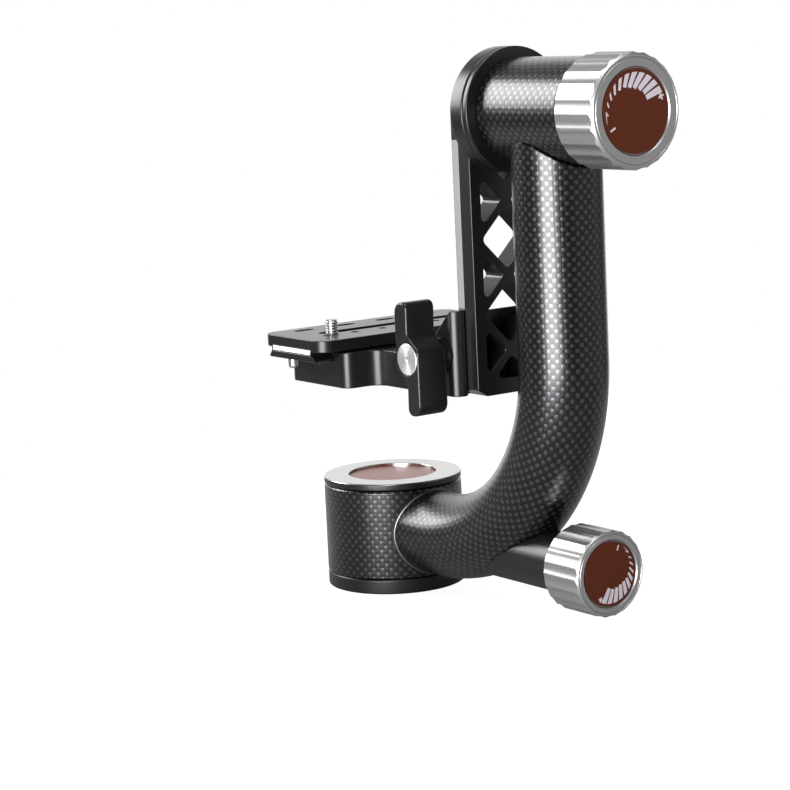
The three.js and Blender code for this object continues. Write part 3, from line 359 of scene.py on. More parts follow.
def rectangle(x0, x1, y0, y1, *radius):
    """Corners of a rectangle, with a radius if one is given."""
    return [(x, y, *radius) for x, y in ((x0, y0), (x1, y0), (x1, y1), (x0, y1))]


FINE_SIDES, SAME_PLACE = 128, 0.000002


def drawn(name, places, fill="NOTHING"):
    """A circle primitive with a vertex at each place, in mm."""
    pick()
    bpy.ops.mesh.primitive_circle_add(vertices=len(places), radius=MM, fill_type=fill)
    piece = bpy.context.object
    piece.name = piece.data.name = name
    for vertex, place in zip(piece.data.vertices, places):
        vertex.co = Vector(place) * MM
    return piece


def in_plan(x, y, z):
    """Outline drawn in X and Y, depth along Z."""
    return Vector((x, y, z))


def from_side(x, z, y):
    """Outline drawn in X and Z, depth along Y."""
    return Vector((x, y, z))


def face_on(y, z, x):
    """Outline drawn in Y and Z, depth along X."""
    return Vector((x, y, z))


def close(merge=True):
    """Merges what coincides in the mesh being edited, faces it outwards and leaves edit mode."""
    bpy.ops.mesh.select_all(action="SELECT")
    if merge:
        bpy.ops.mesh.remove_doubles(threshold=SAME_PLACE)
    bpy.ops.mesh.normals_make_consistent(inside=False)
    bpy.ops.object.mode_set(mode="OBJECT")


def slab(name, outline, low, high, plane):
    """An outline filled and extruded from low to high."""
    piece = drawn(name, [plane(*point, low) for point in outline], "NGON")
    bpy.ops.object.mode_set(mode="EDIT")
    bpy.ops.mesh.select_all(action="SELECT")
    move = (plane(0, 0, high) - plane(0, 0, low)) * MM
    bpy.ops.mesh.extrude_region_move(TRANSFORM_OT_translate={"value": move})
    close(merge=False)
    return piece


def turned(name, profile, start, axis, steps=96, hollow=False):
    """A profile of (radius, distance) spun round an axis; a hollow one is a closed ring."""
    start, axis = Vector(start), Vector(axis)
    side = Vector((0, 0, 1)) if abs(axis.z) < 0.5 else Vector((1, 0, 0))
    piece = drawn(name, [start + axis * along + side * radius for radius, along in profile])
    for edge in piece.data.edges:
        edge.select = not hollow and set(edge.vertices) == {0, len(profile) - 1}
    for vertex in piece.data.vertices:
        vertex.select = False
    bpy.ops.object.mode_set(mode="EDIT")
    bpy.ops.mesh.select_mode(type="EDGE")
    if not hollow:
        bpy.ops.mesh.delete(type="EDGE")
    bpy.ops.mesh.select_mode(type="VERT")
    bpy.ops.mesh.select_all(action="SELECT")
    bpy.ops.mesh.spin(steps=steps, angle=2 * math.pi, center=start * MM, axis=axis)
    close()
    return piece

# %% [markdown]
# ## Cutting, softening and dressing
# Slots and holes are cut with the Boolean modifier, as a mill would. Edges are then broken with
# the Bevel modifier, because the real ones are chamfered, and Weighted Normal keeps flat faces
# flat to the light. A piece rides on the body that its CAD part belongs to.

# %% Modelling helpers
def apply(piece, kind, **settings):
    """Adds a modifier to a piece and applies it."""
    pick(piece)
    modifier = piece.modifiers.new(kind.lower(), kind)
    for name, value in settings.items():
        setattr(modifier, name, value)
    bpy.ops.object.modifier_apply(modifier=modifier.name)


def cut(piece, *tools, operation="DIFFERENCE"):
    """Cuts each tool out of a piece, or joins it, and removes the tool."""
    for tool in tools:
        apply(piece, "BOOLEAN", object=tool, operation=operation, solver="EXACT")
        bpy.data.objects.remove(tool)


def soften(piece, width, segments=3, split=True):
    """Rounds the sharp edges of a piece by a width in mm and shades it smooth.

    The many-sided faces that a cut leaves are split first, or a rounded one could close over
    the openings in it, and flat faces are joined again afterwards, so that they shade flat.
    """
    if width:
        if split:
            apply(piece, "TRIANGULATE", min_vertices=5)
        apply(piece, "WELD", merge_threshold=SAME_PLACE)
        apply(piece, "BEVEL", width=width * MM, segments=segments, limit_method="ANGLE",
              angle_limit=math.radians(35), use_clamp_overlap=False, loop_slide=False,
              miter_outer="MITER_ARC")
        apply(piece, "DECIMATE", decimate_type="DISSOLVE", angle_limit=math.radians(0.4))
    pick(piece)
    bpy.ops.object.shade_smooth_by_angle(angle=math.radians(40))
    apply(piece, "WEIGHTED_NORMAL", keep_sharp=True)


def dress(piece, material, body, slot, *nodes):
    """Paints a piece, lets it ride on a body and hides the CAD nodes it stands for."""
    piece.data.materials.clear()
    piece.data.materials.append(material)
    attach(piece, body)
    if nodes:
        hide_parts(*nodes)
    print(piece.name, len(piece.data.polygons), "faces")


def rod_tool(radius, low, high, centre, plane, steps=32):
    """A round cutter across a plane's two axes, from low to high along its depth."""
    ring = [(centre[0] + radius * math.cos(2 * math.pi * i / steps),
             centre[1] + radius * math.sin(2 * math.pi * i / steps)) for i in range(steps)]
    return slab("cutter", ring, low, high, plane)

# %% [markdown]
# ## Pan base and housing
# The collar at the bottom stays still on the tripod, and its spindle runs up inside the housing.
# The housing is a carbon-wrapped ring with a bearing seat at each end. Both are turned, so one
# profile spun round Z makes each. A larger radius at the housing's top edge carries the short
# bright line under the cap.

# %% Pan base
GAP, BASE_RADIUS, COLLAR_TOP = 0.3, 33.5, 7.1
HOUSING_BOTTOM, HOUSING_TOP = 7.4, 50.3
SOCKET_RADIUS, SOCKET_TOP = 8, 14.6
SHOULDER_RADIUS, SHOULDER_TOP = 14, 11.5
SPINDLE_RADIUS, SPINDLE_STEP, SPINDLE_TOP = 11, 45.7, 50
UP, ALONG = (0, 0, 1), (1, 0, 0)
pan_base = turned("base_collar", rounded([
    (0, SOCKET_TOP), (SOCKET_RADIUS, SOCKET_TOP), (SOCKET_RADIUS, 0), (BASE_RADIUS, 0, 0.8),
    (BASE_RADIUS, COLLAR_TOP, 0.9), (SHOULDER_RADIUS, COLLAR_TOP), (SHOULDER_RADIUS, SHOULDER_TOP),
    (SPINDLE_RADIUS, SHOULDER_TOP), (SPINDLE_RADIUS, SPINDLE_STEP), (8, SPINDLE_STEP),
    (8, SPINDLE_TOP), (0, SPINDLE_TOP)]), (0, 0, 0), UP, FINE_SIDES)
soften(pan_base, 0)
dress(pan_base, black, "base", "black_anodised", "pan_base")

# %% Pan housing
MOUTH_RADIUS, SEAT_RADIUS = 16, 20
WEB_RADIUS, WEB_BOTTOM, WEB_TOP = 17, 21.1, 36.7
pan_housing = turned("pan_barrel", rounded([
    (MOUTH_RADIUS, HOUSING_BOTTOM), (BASE_RADIUS, HOUSING_BOTTOM, 0.8),
    (BASE_RADIUS, HOUSING_TOP, 1.5), (SEAT_RADIUS, HOUSING_TOP), (SEAT_RADIUS, WEB_TOP),
    (WEB_RADIUS, WEB_TOP), (WEB_RADIUS, WEB_BOTTOM), (SEAT_RADIUS, WEB_BOTTOM),
    (SEAT_RADIUS, SHOULDER_TOP), (MOUTH_RADIUS, SHOULDER_TOP)]),
    (0, 0, 0), UP, FINE_SIDES, hollow=True)
soften(pan_housing, 0)


def weave(piece, radius, unroll):
    """A UV map in cells of the weave; unroll gives the angle and the distance along, in mm."""
    around = 2 * round(math.pi * radius / TOW_WIDTH)
    layer = piece.data.uv_layers.new(name="weave")
    for face in piece.data.polygons:
        middle = unroll(face.center / MM)[0]
        for corner in face.loop_indices:
            place = piece.data.vertices[piece.data.loops[corner].vertex_index].co / MM
            angle, along = unroll(place)
            angle += 2 * math.pi * round((middle - angle) / (2 * math.pi))
            layer.data[corner].uv = (angle / (2 * math.pi) * around, along / TOW_WIDTH)


weave(pan_housing, BASE_RADIUS, lambda p: (math.atan2(p.y, p.x), p.z))
dress(pan_housing, carbon, "pan", "carbon", "pan_housing")

# %% Cap and its badge
CAP_BOTTOM, CAP_TOP = 50.6, 53.7
CAP_BADGE, RECESS_FLOOR, BADGE_BOTTOM, BADGE_TOP = 21.1, 51.7, 52, 52.6
SHADED_SIDE_RADIUS, SHADED_SIDE_DEPTH = 30, 0.5
cap = turned("pan_cap_ring", rounded([
    (0, CAP_BOTTOM), (BASE_RADIUS, CAP_BOTTOM, 0.5), (BASE_RADIUS, CAP_TOP, 0.7),
    (CAP_BADGE + GAP, CAP_TOP, 0.35), (CAP_BADGE + GAP, RECESS_FLOOR), (0, RECESS_FLOOR)]),
    (0, 0, 0), UP, FINE_SIDES)
soften(cap, 0)
dress(cap, cap_silver, "pan", "cap_ring", "pan_cap")
# Painted shade: the ring's side, below its top face, gets the black material for the dark
# surroundings it mirrors.
cap.data.materials.append(black)
for face in cap.data.polygons:
    middle = face.center / MM
    face.material_index = int(middle.z < CAP_TOP - SHADED_SIDE_DEPTH and middle.xy.length > SHADED_SIDE_RADIUS)
cap_badge = turned("cap_badge_disc", rounded([
    (0, BADGE_BOTTOM), (CAP_BADGE, BADGE_BOTTOM), (CAP_BADGE, BADGE_TOP, 0.3), (0, BADGE_TOP)]),
    (0, 0, 0), UP, FINE_SIDES)
soften(cap_badge, 0)
dress(cap_badge, cap_brown, "pan", "badge", "pan_cap_badge")

# %% [markdown]
# ## The arm tube
# The arm is one bent carbon tube, 40 mm across. It is made as a bender makes it: a circle is
# extruded for the straight run, spun a quarter turn for the bend, and extruded again for the
# upright. Solidify gives it its wall, and both ends are cut to saddles that fit the housings.

# %% Arm tube
BEND_START, BEND_RADIUS, ARM_X = 43.3, 92, 135.3
BEND_TOP = ARM_HEIGHT + BEND_RADIUS
TUBE_RADIUS, TUBE_WALL, TUBE_SIDES, BEND_STEPS = 20, 3, 96, 64
BARREL_RADIUS, BARREL_START, BARREL_END = 23.2, 109.2, 163.7
ROD_HOLE = 4.3
PAN_SPAN, BARREL_SPAN = (-10, 80), (100, 170)


def bent_tube(name, radius):
    """A straight run, a quarter bend and an upright, open at both ends."""
    ring = [(BEND_START - TUBE_RADIUS, radius * math.sin(2 * math.pi * i / TUBE_SIDES),
             ARM_HEIGHT + radius * math.cos(2 * math.pi * i / TUBE_SIDES))
            for i in range(TUBE_SIDES)]
    piece = drawn(name, ring)
    bpy.ops.object.mode_set(mode="EDIT")
    bpy.ops.mesh.select_all(action="SELECT")
    bpy.ops.mesh.extrude_region_move(TRANSFORM_OT_translate={"value": (TUBE_RADIUS * MM, 0, 0)})
    bpy.ops.mesh.spin(steps=BEND_STEPS, angle=math.pi / 2, axis=(0, 1, 0),
                      center=Vector((BEND_START, 0, BEND_TOP)) * MM)
    rise = (0, 0, (TILT_HEIGHT - BEND_TOP) * MM)
    bpy.ops.mesh.extrude_region_move(TRANSFORM_OT_translate={"value": rise})
    close()
    return piece


def capped(piece):
    """Fills both open ends, to make a solid cutter."""
    bpy.ops.object.mode_set(mode="EDIT")
    bpy.ops.mesh.select_all(action="DESELECT")
    bpy.ops.mesh.select_mode(type="EDGE")
    bpy.ops.mesh.select_non_manifold()
    bpy.ops.mesh.edge_face_add()
    bpy.ops.mesh.select_mode(type="VERT")
    close(merge=False)
    return piece


def unroll_tube(place):
    """Angle from the inside of the bend, and distance along the tube."""
    if place.x < BEND_START:
        return math.atan2(place.y, place.z - ARM_HEIGHT), place.x
    if place.z > BEND_TOP:
        along = BEND_START + BEND_RADIUS * math.pi / 2 + place.z - BEND_TOP
        return math.atan2(place.y, ARM_X - place.x), along
    reach = math.hypot(place.x - BEND_START, place.z - BEND_TOP)
    swept = math.atan2(place.x - BEND_START, BEND_TOP - place.z)
    return math.atan2(place.y, BEND_RADIUS - reach), BEND_START + BEND_RADIUS * swept


def rod_hole(low, high):
    """The hole that the pan lock's rod runs in."""
    return rod_tool(ROD_HOLE, low, high, (0, ARM_HEIGHT), face_on)


def pan_cutter(radius):
    """A round cutter about the pan axis, as high as the tube."""
    return rod_tool(radius, *PAN_SPAN, (0, 0), in_plan, FINE_SIDES)


tube = bent_tube("carbon_arm", TUBE_RADIUS)
apply(tube, "SOLIDIFY", thickness=TUBE_WALL * MM, offset=-1, use_rim=True)
cut(tube, pan_cutter(BASE_RADIUS + GAP),
    rod_tool(BARREL_RADIUS + GAP, *BARREL_SPAN, (0, TILT_HEIGHT), face_on, FINE_SIDES),
    rod_hole(100, 150))
soften(tube, 1.1)
weave(tube, TUBE_RADIUS, unroll_tube)
dress(tube, carbon, "pan", "carbon", "arm_tube")

# %% Bead where the tube meets the housing
# The bead is raised round the joint, and its pale grey is a painted highlight for the bright line
# along it.
BEAD_RISE, BEAD_WIDTH, BEAD_GAP = 0.7, 1.3, 0.05
bead = bent_tube("joint_bead", TUBE_RADIUS + BEAD_RISE)
apply(bead, "SOLIDIFY", thickness=(BEAD_RISE - BEAD_GAP) * MM, offset=-1, use_rim=True)
cut(bead, pan_cutter(BASE_RADIUS + GAP))
cut(bead, pan_cutter(BASE_RADIUS + GAP + BEAD_WIDTH), operation="INTERSECT")
soften(bead, 0.3)
dress(bead, bead_highlight_paint, "pan", "silver_aluminium")

# %% Lock boss on the bend
BOSS_START, BOSS_END, BOSS_RADIUS = 65, 138.4, 13.5
BUSHING_START, BUSHING_SEAT = 122.4, 7
boss = turned("lock_boss", rounded([
    (0, BOSS_START), (BOSS_RADIUS, BOSS_START), (BOSS_RADIUS, BOSS_END, 0.9),
    (BUSHING_SEAT, BOSS_END), (BUSHING_SEAT, BUSHING_START), (0, BUSHING_START)]),
    (0, 0, ARM_HEIGHT), ALONG)
cut(boss, capped(bent_tube("cutter", TUBE_RADIUS + GAP)), rod_hole(60, 140))
soften(boss, 0.25)
dress(boss, black, "pan", "black_anodised", "pan_lock_boss")

# %% [markdown]
# ## Tilt housing
# The barrel at the top of the arm holds two bearings on the tilt axis. It is turned round X and
# gets its own weave map, since the same cloth wraps it.

# %% Tilt housing
TILT_SEAT, TILT_WEB, TILT_WEB_START, TILT_WEB_END = 17.5, 14.6, 117.8, 139.4
barrel = turned("tilt_barrel", rounded([
    (TILT_SEAT, BARREL_START), (BARREL_RADIUS, BARREL_START, 0.8),
    (BARREL_RADIUS, BARREL_END, 0.8), (TILT_SEAT, BARREL_END), (TILT_SEAT, TILT_WEB_END),
    (TILT_WEB, TILT_WEB_END), (TILT_WEB, TILT_WEB_START), (TILT_SEAT, TILT_WEB_START)]),
    (0, 0, TILT_HEIGHT), ALONG, FINE_SIDES, hollow=True)
soften(barrel, 0)
weave(barrel, BARREL_RADIUS, lambda p: (math.atan2(p.y, p.z - TILT_HEIGHT), p.x))
dress(barrel, carbon, "pan", "carbon", "tilt_housing")

# %% [markdown]
# ## Lock knobs
# Each knob is a turned aluminium drum with wide shallow flutes milled along it, and a thin groove
# and a polished lip on its face. The drum is spun first. Then a fluted bar is drawn and only
# what both share is kept, so the flutes run out in scallops at the chamfer, as they do on the
# real knob.

# %% Knob builder
RIDGE_SHARE, FLUTE_DEPTH, FLUTE_STEPS = 0.12, 0.45, 8
FACE_SHARE, GROOVE_SHARE, GROOVE_HALF, GROOVE_DEPTH = 0.945, 0.905, 0.28, 0.4
SCREW_DEPTH, BACK_CHAMFER, FRONT_SLOPE = 18.3, 1.7, 1.15
RECESS, BADGE_THICK = 1, 0.5


def fluted(radius, flutes, centre_z, depth=FLUTE_DEPTH):
    """A round outline with shallow hollows between narrow ridges."""
    points = []
    pitch = 2 * math.pi / flutes
    for i in range(flutes):
        first = (i + RIDGE_SHARE / 2) * pitch
        last = (i + 1 - RIDGE_SHARE / 2) * pitch
        ends = [Vector((math.cos(a), math.sin(a))) * radius for a in (first, last)]
        inward = -(ends[0] + ends[1]).normalized()
        for k in range(FLUTE_STEPS + 1):
            t = k / FLUTE_STEPS
            point = ends[0].lerp(ends[1], t) + inward * depth * 4 * t * (1 - t)
            points.append((point.x, point.y + centre_z))
    return points


def lock_knob(name, radius, flutes, back_x, centre_z, depth, badge):
    """A fluted drum with a grooved face and a recess for its badge."""
    over, face, groove = radius + 0.5, radius * FACE_SHARE, radius * GROOVE_SHARE
    drop = (over - face) * FRONT_SLOPE
    profile = rounded([
        (0, SCREW_DEPTH), (ROD_HOLE, SCREW_DEPTH), (ROD_HOLE, 0), (radius - 1.2, 0),
        (over, BACK_CHAMFER), (over, depth - drop), (face, depth, 0.25),
        (groove + GROOVE_HALF, depth), (groove, depth - GROOVE_DEPTH),
        (groove - GROOVE_HALF, depth), (badge + GAP + 0.7, depth, 0.15),
        (badge + GAP, depth - 0.7, 0.15), (badge + GAP, depth - RECESS), (0, depth - RECESS)], 3)
    knob = turned(name, profile, (back_x, 0, centre_z), ALONG, 144)
    bar = slab("cutter", fluted(radius, flutes, centre_z), back_x - 1, back_x + depth + 1, face_on)
    cut(knob, bar, operation="INTERSECT")
    soften(knob, 0)
    return knob


def badge_disc(name, back_x, centre_z, depth, badge):
    """The thin disc in the knob's recess."""
    low = depth - RECESS + GAP
    high = low + BADGE_THICK
    disc = turned(name, rounded([(0, low), (badge, low), (badge, high, 0.2), (0, high)]),
                  (back_x, 0, centre_z), ALONG, FINE_SIDES)
    soften(disc, 0)
    return disc

# %% Knobs and badges
KNOBS = {
    "tilt": {"back_x": BARREL_END + GAP, "centre_z": TILT_HEIGHT, "depth": 24.9, "badge": 17.8},
    "pan": {"back_x": BOSS_END + GAP, "centre_z": ARM_HEIGHT, "depth": 23.8, "badge": 14.5}}
DRUMS = {"tilt": (24.7, 24, tilt_silver), "pan": (19.4, 22, pan_silver)}
for side, shape in KNOBS.items():
    radius, flutes, metal = DRUMS[side]
    knob = lock_knob(side + "_knob", radius, flutes, **shape)
    dress(knob, metal, side + "_knob", "silver_aluminium", side + "_lock_knob")
    disc = badge_disc(side + "_badge", **shape)
    dress(disc, badge_brown, side + "_knob", "badge", side + "_knob_badge")

# %% [markdown]
# ## Grip scales
# Each badge carries a plain scale that shows which way tightens: bars that grow from a minus sign
# to a plus sign. They are bare metal in the brown finish, drawn as thin plates that stand 0.05 mm
# out of the badge, with sizes as shares of its radius.

# %% Scale builder
BAR_LENGTHS = (0.49, 0.46, 0.45, 0.44, 0.4, 0.325, 0.285, 0.235, 0.17, 0.12, 0.09)
BAR_WIDTHS = (0.185, 0.165, 0.175, 0.17, 0.16, 0.145, 0.115, 0.085, 0.07, 0.06, 0.05)
BAR_RIM, BAR_FIRST, BAR_STEP = 0.91, 31.5, 14.8
LEAN_FIRST, LEAN_STEP = 21.5, 10.2
INNER_SHARE, MARK_STAND = 0.66, 0.05
SIGN_TURN, SIGN_LENGTH, SIGN_WIDTH = 28, 0.17, 0.048
TAIL_FROM, TAIL_TO, TAIL_RIM, TAIL_TAPER = 178, 198, 0.93, 0.0016
MINUS_PLACE, PLUS_PLACE = (-0.73, -0.39), (0.78, 0.3)


def polar(angle, radius):
    """A point at an angle in degrees."""
    return Vector((math.cos(math.radians(angle)), math.sin(math.radians(angle)))) * radius


def sign(centre, arms):
    """A bar about a centre, or a cross where it has four arms; a corner lies between two arms."""
    points = []
    for i in range(arms):
        angle = SIGN_TURN + i * 360 / arms
        tip, edge = polar(angle, SIGN_LENGTH / 2), polar(angle + 90, SIGN_WIDTH / 2)
        points += [centre + tip - edge, centre + tip + edge]
        if arms == 4:
            points.append(centre + polar(angle, SIGN_WIDTH / 2) + edge)
    return points


def scale_marks():
    """Outlines of the bars, the thin tail and the two signs on a badge of radius 1."""
    marks = []
    for i, (length, width) in enumerate(zip(BAR_LENGTHS, BAR_WIDTHS)):
        angle, lean = BAR_FIRST + i * BAR_STEP, LEAN_FIRST + i * LEAN_STEP
        foot = polar(angle, BAR_RIM) - polar(lean, length)
        half = math.degrees(width / 2 / BAR_RIM)
        inner = width * INNER_SHARE / 2
        rim = [polar(angle + half * k, BAR_RIM) for k in (-1, -0.5, 0, 0.5, 1)]
        marks.append(rim + [foot + polar(lean + 90, inner), foot - polar(lean + 90, inner)])
    tail = range(TAIL_FROM, TAIL_TO, 2)
    under = [polar(a, TAIL_RIM - TAIL_TAPER * (TAIL_TO - a)) for a in reversed(tail)]
    marks.append([polar(a, TAIL_RIM) for a in tail] + under)
    return marks + [sign(Vector(MINUS_PLACE), 2), sign(Vector(PLUS_PLACE), 4)]


def merged(name, pieces):
    """Pieces joined into one object."""
    pick(*pieces)
    bpy.ops.object.join()
    pieces[0].name = pieces[0].data.name = name
    return pieces[0]


def grip_scale(name, turn_by, back_x, centre_z, depth, badge):
    """The scale at a badge's size and turn, as one piece."""
    face = back_x + depth - RECESS + GAP + BADGE_THICK
    plates = []
    for mark in scale_marks():
        points = [Matrix.Rotation(math.radians(turn_by), 2) @ point * badge for point in mark]
        outline = [(p.x, p.y + centre_z) for p in points]
        plates.append(slab("mark", outline, face - MARK_STAND, face + MARK_STAND, face_on))
    return merged(name, plates)


for side, turn_by in (("tilt", 0), ("pan", -141)):
    scale = grip_scale(side + "_scale", turn_by, **KNOBS[side])
    dress(scale, mark_paint, side + "_knob", "silver_aluminium")

# %% [markdown]
# ## Swing arm
# A plate with a triangular truss milled through it hangs from a round hub. Its long edges carry
# V grooves, which make it a rail that the platform clamps to. The plate is a slab with every
# opening cut right through. The hub is a disc joined on and bored. Then all edges are broken.

# %% Swing arm
RAIL_BACK, RAIL_FRONT, RAIL_HALF = 85.8, 98.5, 19.7
FOOT_HALF, FOOT_CHAMFER = 14.2, 3.3
HUB_RADIUS, HUB_BACK, HUB_FRONT = 28.05, 96.8, 105.4
TRUSS_HALF, TRUSS_FIRST, TRUSS_PITCH, STRUT = 14, 40.2, 33.7, 3.7 / math.sqrt(2)
TRUSS_CORNER, DIAMOND_CORNER, FOOT_BAR, GROOVE_DEEP = 2, 2.6, 7.1, 2.45
NEARLY = 0.01


def truss_openings():
    """Outlines in Y and Z, measured from the tilt axis."""
    shapes = []
    for i in range(3):
        node = -TRUSS_FIRST - i * TRUSS_PITCH
        for side in (-1, 1):
            reach = TRUSS_HALF - STRUT
            shapes.append([(side * STRUT, node, TRUSS_CORNER),
                           (side * TRUSS_HALF, node + reach, TRUSS_CORNER),
                           (side * TRUSS_HALF, node - reach, TRUSS_CORNER)])
        if i < 2:
            middle, reach = node - TRUSS_PITCH / 2, TRUSS_PITCH / 2 - STRUT
            shapes.append([(0, middle + reach, DIAMOND_CORNER), (reach, middle, DIAMOND_CORNER),
                           (0, middle - reach, DIAMOND_CORNER), (-reach, middle, DIAMOND_CORNER)])
    foot = RAIL_DROP - FOOT_BAR
    spread = foot + node - STRUT
    shapes.append([(0, node - STRUT, TRUSS_CORNER), (spread, -foot, TRUSS_CORNER),
                   (-spread, -foot, TRUSS_CORNER)])
    shapes.append([(0, -31.5, 0.8), (7.5, -24, 0.8), (-7.5, -24, 0.8)])
    return [[(y, z + TILT_HEIGHT) for y, z in rounded(shape)] for shape in shapes]


def v_groove(side):
    """The cutter for the groove along one edge of the rail."""
    outline = [(RAIL_BACK - 1, side * (RAIL_HALF + 1)),
               (RAIL_BACK + GROOVE_DEEP, side * (RAIL_HALF - GROOVE_DEEP)),
               (RAIL_BACK + 2 * GROOVE_DEEP + 1, side * (RAIL_HALF + 1))]
    return slab("cutter", outline, PLATFORM_BOTTOM - 1, TILT_HEIGHT - 12, in_plan)


top = TILT_HEIGHT + RAIL_HALF
swing = slab("truss_arm", rounded([
    (-RAIL_HALF, top, RAIL_HALF - NEARLY), (-RAIL_HALF, PLATFORM_BOTTOM + FOOT_CHAMFER),
    (-FOOT_HALF, PLATFORM_BOTTOM), (FOOT_HALF, PLATFORM_BOTTOM),
    (RAIL_HALF, PLATFORM_BOTTOM + FOOT_CHAMFER), (RAIL_HALF, top, RAIL_HALF - NEARLY)], 16),
    RAIL_BACK, RAIL_FRONT, face_on)
cut(swing, *[slab("cutter", shape, RAIL_BACK - 1, RAIL_FRONT + 1, face_on)
             for shape in truss_openings()])
cut(swing, v_groove(1), v_groove(-1))
on_axis = (0, TILT_HEIGHT)
hub = rod_tool(HUB_RADIUS, HUB_BACK, HUB_FRONT, on_axis, face_on, FINE_SIDES)
soften(hub, 0.9)
cut(swing, hub, operation="UNION")
steps_in = ((6.8, RAIL_BACK - 1, 91.8, 48), (4, 91, 106, 32), (10, 95.8, 107, 48))
for radius, low, high, sides in steps_in:
    cut(swing, rod_tool(radius, low, high, on_axis, face_on, sides))
soften(swing, 0.45)
dress(swing, black, "swing", "black_anodised", "swing_arm")

# %% Hub ring and hub screw
RING_BORE, RING_STEP, RING_BACK, RING_FRONT = 14.3, 26.8, 105.7, 108.9
hub_ring = turned("hub_spacer_ring", rounded([
    (RING_BORE, RING_BACK), (RING_STEP, RING_BACK), (RING_STEP, 106), (HUB_RADIUS, 106, 0.4),
    (HUB_RADIUS, RING_FRONT, 0.7), (RING_BORE, RING_FRONT)]),
    (0, 0, TILT_HEIGHT), ALONG, FINE_SIDES, hollow=True)
soften(hub_ring, 0)
dress(hub_ring, black, "swing", "black_anodised", "swing_hub_ring")
HEAD_BACK, HEAD_FRONT, SCREW_TIP = 86.6, 91.5, 117.1
hub_screw = turned("hub_socket_screw", rounded([
    (0, HEAD_BACK), (6.5, HEAD_BACK, 0.6), (6.5, HEAD_FRONT), (3.7, HEAD_FRONT),
    (3.7, SCREW_TIP), (0, SCREW_TIP)]), (0, 0, TILT_HEIGHT), ALONG, 64)
cut(hub_screw, rod_tool(3.4, 85, 89.6, on_axis, face_on, 6))
soften(hub_screw, 0.15)
dress(hub_screw, steel, "swing", "steel", "swing_hub_screw")

# %% [markdown]
# ## Platform and rail jaw
# The platform is one milled block: a clamp body under the camera plate, a neck, and a tall block
# that grips the rail. It is what its plan and its side view share, so two slabs are crossed. The
# rail's channel and the room for the moving jaw are then cut out, with the holes for the screws
# and pins. The jaw's plan is crossed with the same side view, so it has the block's slope.

# %% Platform
JAW_FRONT, GROOVE_TIP = 90.4, 88.25
TIP_HALF, MOUTH_HALF = 17.674, 19.824
NECK_HALF, NECK_START, NECK_CORNER = 26, 29.4, 7.2
BODY_HALF, BODY_END, BODY_CORNER, BLOCK_TOP = 44, -19, 5.4, 38.95
THROAT, THROAT_TOP, LIP, LIP_LOW, LIP_TOP = 19.3, 13.874, 16.8, 16.374, 16.85
BED, LEDGE, LEDGE_END = 12.45, 9.75, -15
SCREW_HOLE, PIN_HOLE = 3.3, 2.3


def above(points):
    """The same outline in X and Z, lifted to the platform's place."""
    return [(x, z + PLATFORM_BOTTOM) for x, z in points]


def side_view(name, half):
    """The platform's side view as a slab across it."""
    outline = [(BODY_END, 0), (JAW_FRONT, 0), (JAW_FRONT, BLOCK_TOP), (87, BLOCK_TOP),
               (64.9, LIP_TOP), (LIP, LIP_TOP), (LIP, LIP_LOW), (THROAT, THROAT_TOP),
               (THROAT, BED), (LEDGE_END, BED), (LEDGE_END, LEDGE), (BODY_END, LEDGE)]
    return slab(name, above(outline), -half, half, from_side)


def across(radius, low, high, x, height):
    """A round cutter along Y at a height above the platform's underside."""
    return rod_tool(radius, low, high, (x, height + PLATFORM_BOTTOM), from_side, 24)


def lengthwise(radius, low, high, y, height):
    """A round cutter along X at a height above the platform's underside."""
    return rod_tool(radius, low, high, (y, height + PLATFORM_BOTTOM), face_on, 24)


JAW_PINS = ((75.75, 5), (79.75, 25.45))
PLATE_SCREW_HEIGHT, PLATE_PINS = 5.6, (-20, 20)
PLAN_TOP = PLATFORM_BOTTOM + 40
platform = slab("slide_platform", rounded([
    (BODY_END, -BODY_HALF, BODY_CORNER), (NECK_START, -BODY_HALF, BODY_CORNER),
    (NECK_START, -NECK_HALF, NECK_CORNER), (JAW_FRONT, -NECK_HALF), (JAW_FRONT, NECK_HALF, 5),
    (NECK_START, NECK_HALF, NECK_CORNER), (NECK_START, BODY_HALF, BODY_CORNER),
    (BODY_END, BODY_HALF, BODY_CORNER)], 8), PLATFORM_BOTTOM, PLAN_TOP, in_plan)
cut(platform, side_view("cutter", BODY_HALF + 1), operation="INTERSECT")
channel = [(85.5, -27), (91.4, -27), (91.4, MOUTH_HALF + 1), (GROOVE_TIP, TIP_HALF),
           (85.5, TIP_HALF + 2.75)]
room = rectangle(69.7, 91.4, -27, -19.85)
cut(platform, *[slab("cutter", shape, PLATFORM_BOTTOM - 1, PLAN_TOP + 1, in_plan)
                for shape in (channel, room)])
cut(platform, across(SCREW_HOLE, -26, 4, WING_X, WING_HEIGHT),
    *[across(PIN_HOLE, -21, -12.55, x, z) for x, z in JAW_PINS])
cut(platform, lengthwise(SCREW_HOLE, -20, 7, 0, PLATE_SCREW_HEIGHT),
    lengthwise(1.9, 75.2, 92, 10.3, 17.6),
    *[lengthwise(PIN_HOLE, -20, -10.7, y, PLATE_SCREW_HEIGHT) for y in PLATE_PINS])
soften(platform, 0.5)
dress(platform, black, "cradle", "black_anodised", "platform")

# %% Rail jaw
rail_jaw = slab("rail_clamp_jaw", rounded([
    (70, -NECK_HALF), (JAW_FRONT, -NECK_HALF, 5), (JAW_FRONT, -MOUTH_HALF), (GROOVE_TIP, -TIP_HALF),
    (85.774, -20.15), (70, -20.15)], 8), PLATFORM_BOTTOM, PLAN_TOP, in_plan)
cut(rail_jaw, side_view("cutter", NECK_HALF + 1), operation="INTERSECT")
cut(rail_jaw, across(SCREW_HOLE, -27, -15, WING_X, WING_HEIGHT),
    *[across(PIN_HOLE, -23.35, -15, x, z) for x, z in JAW_PINS])
soften(rail_jaw, 0.45)
dress(rail_jaw, black, "rail_clamp", "black_anodised", "rail_jaw")

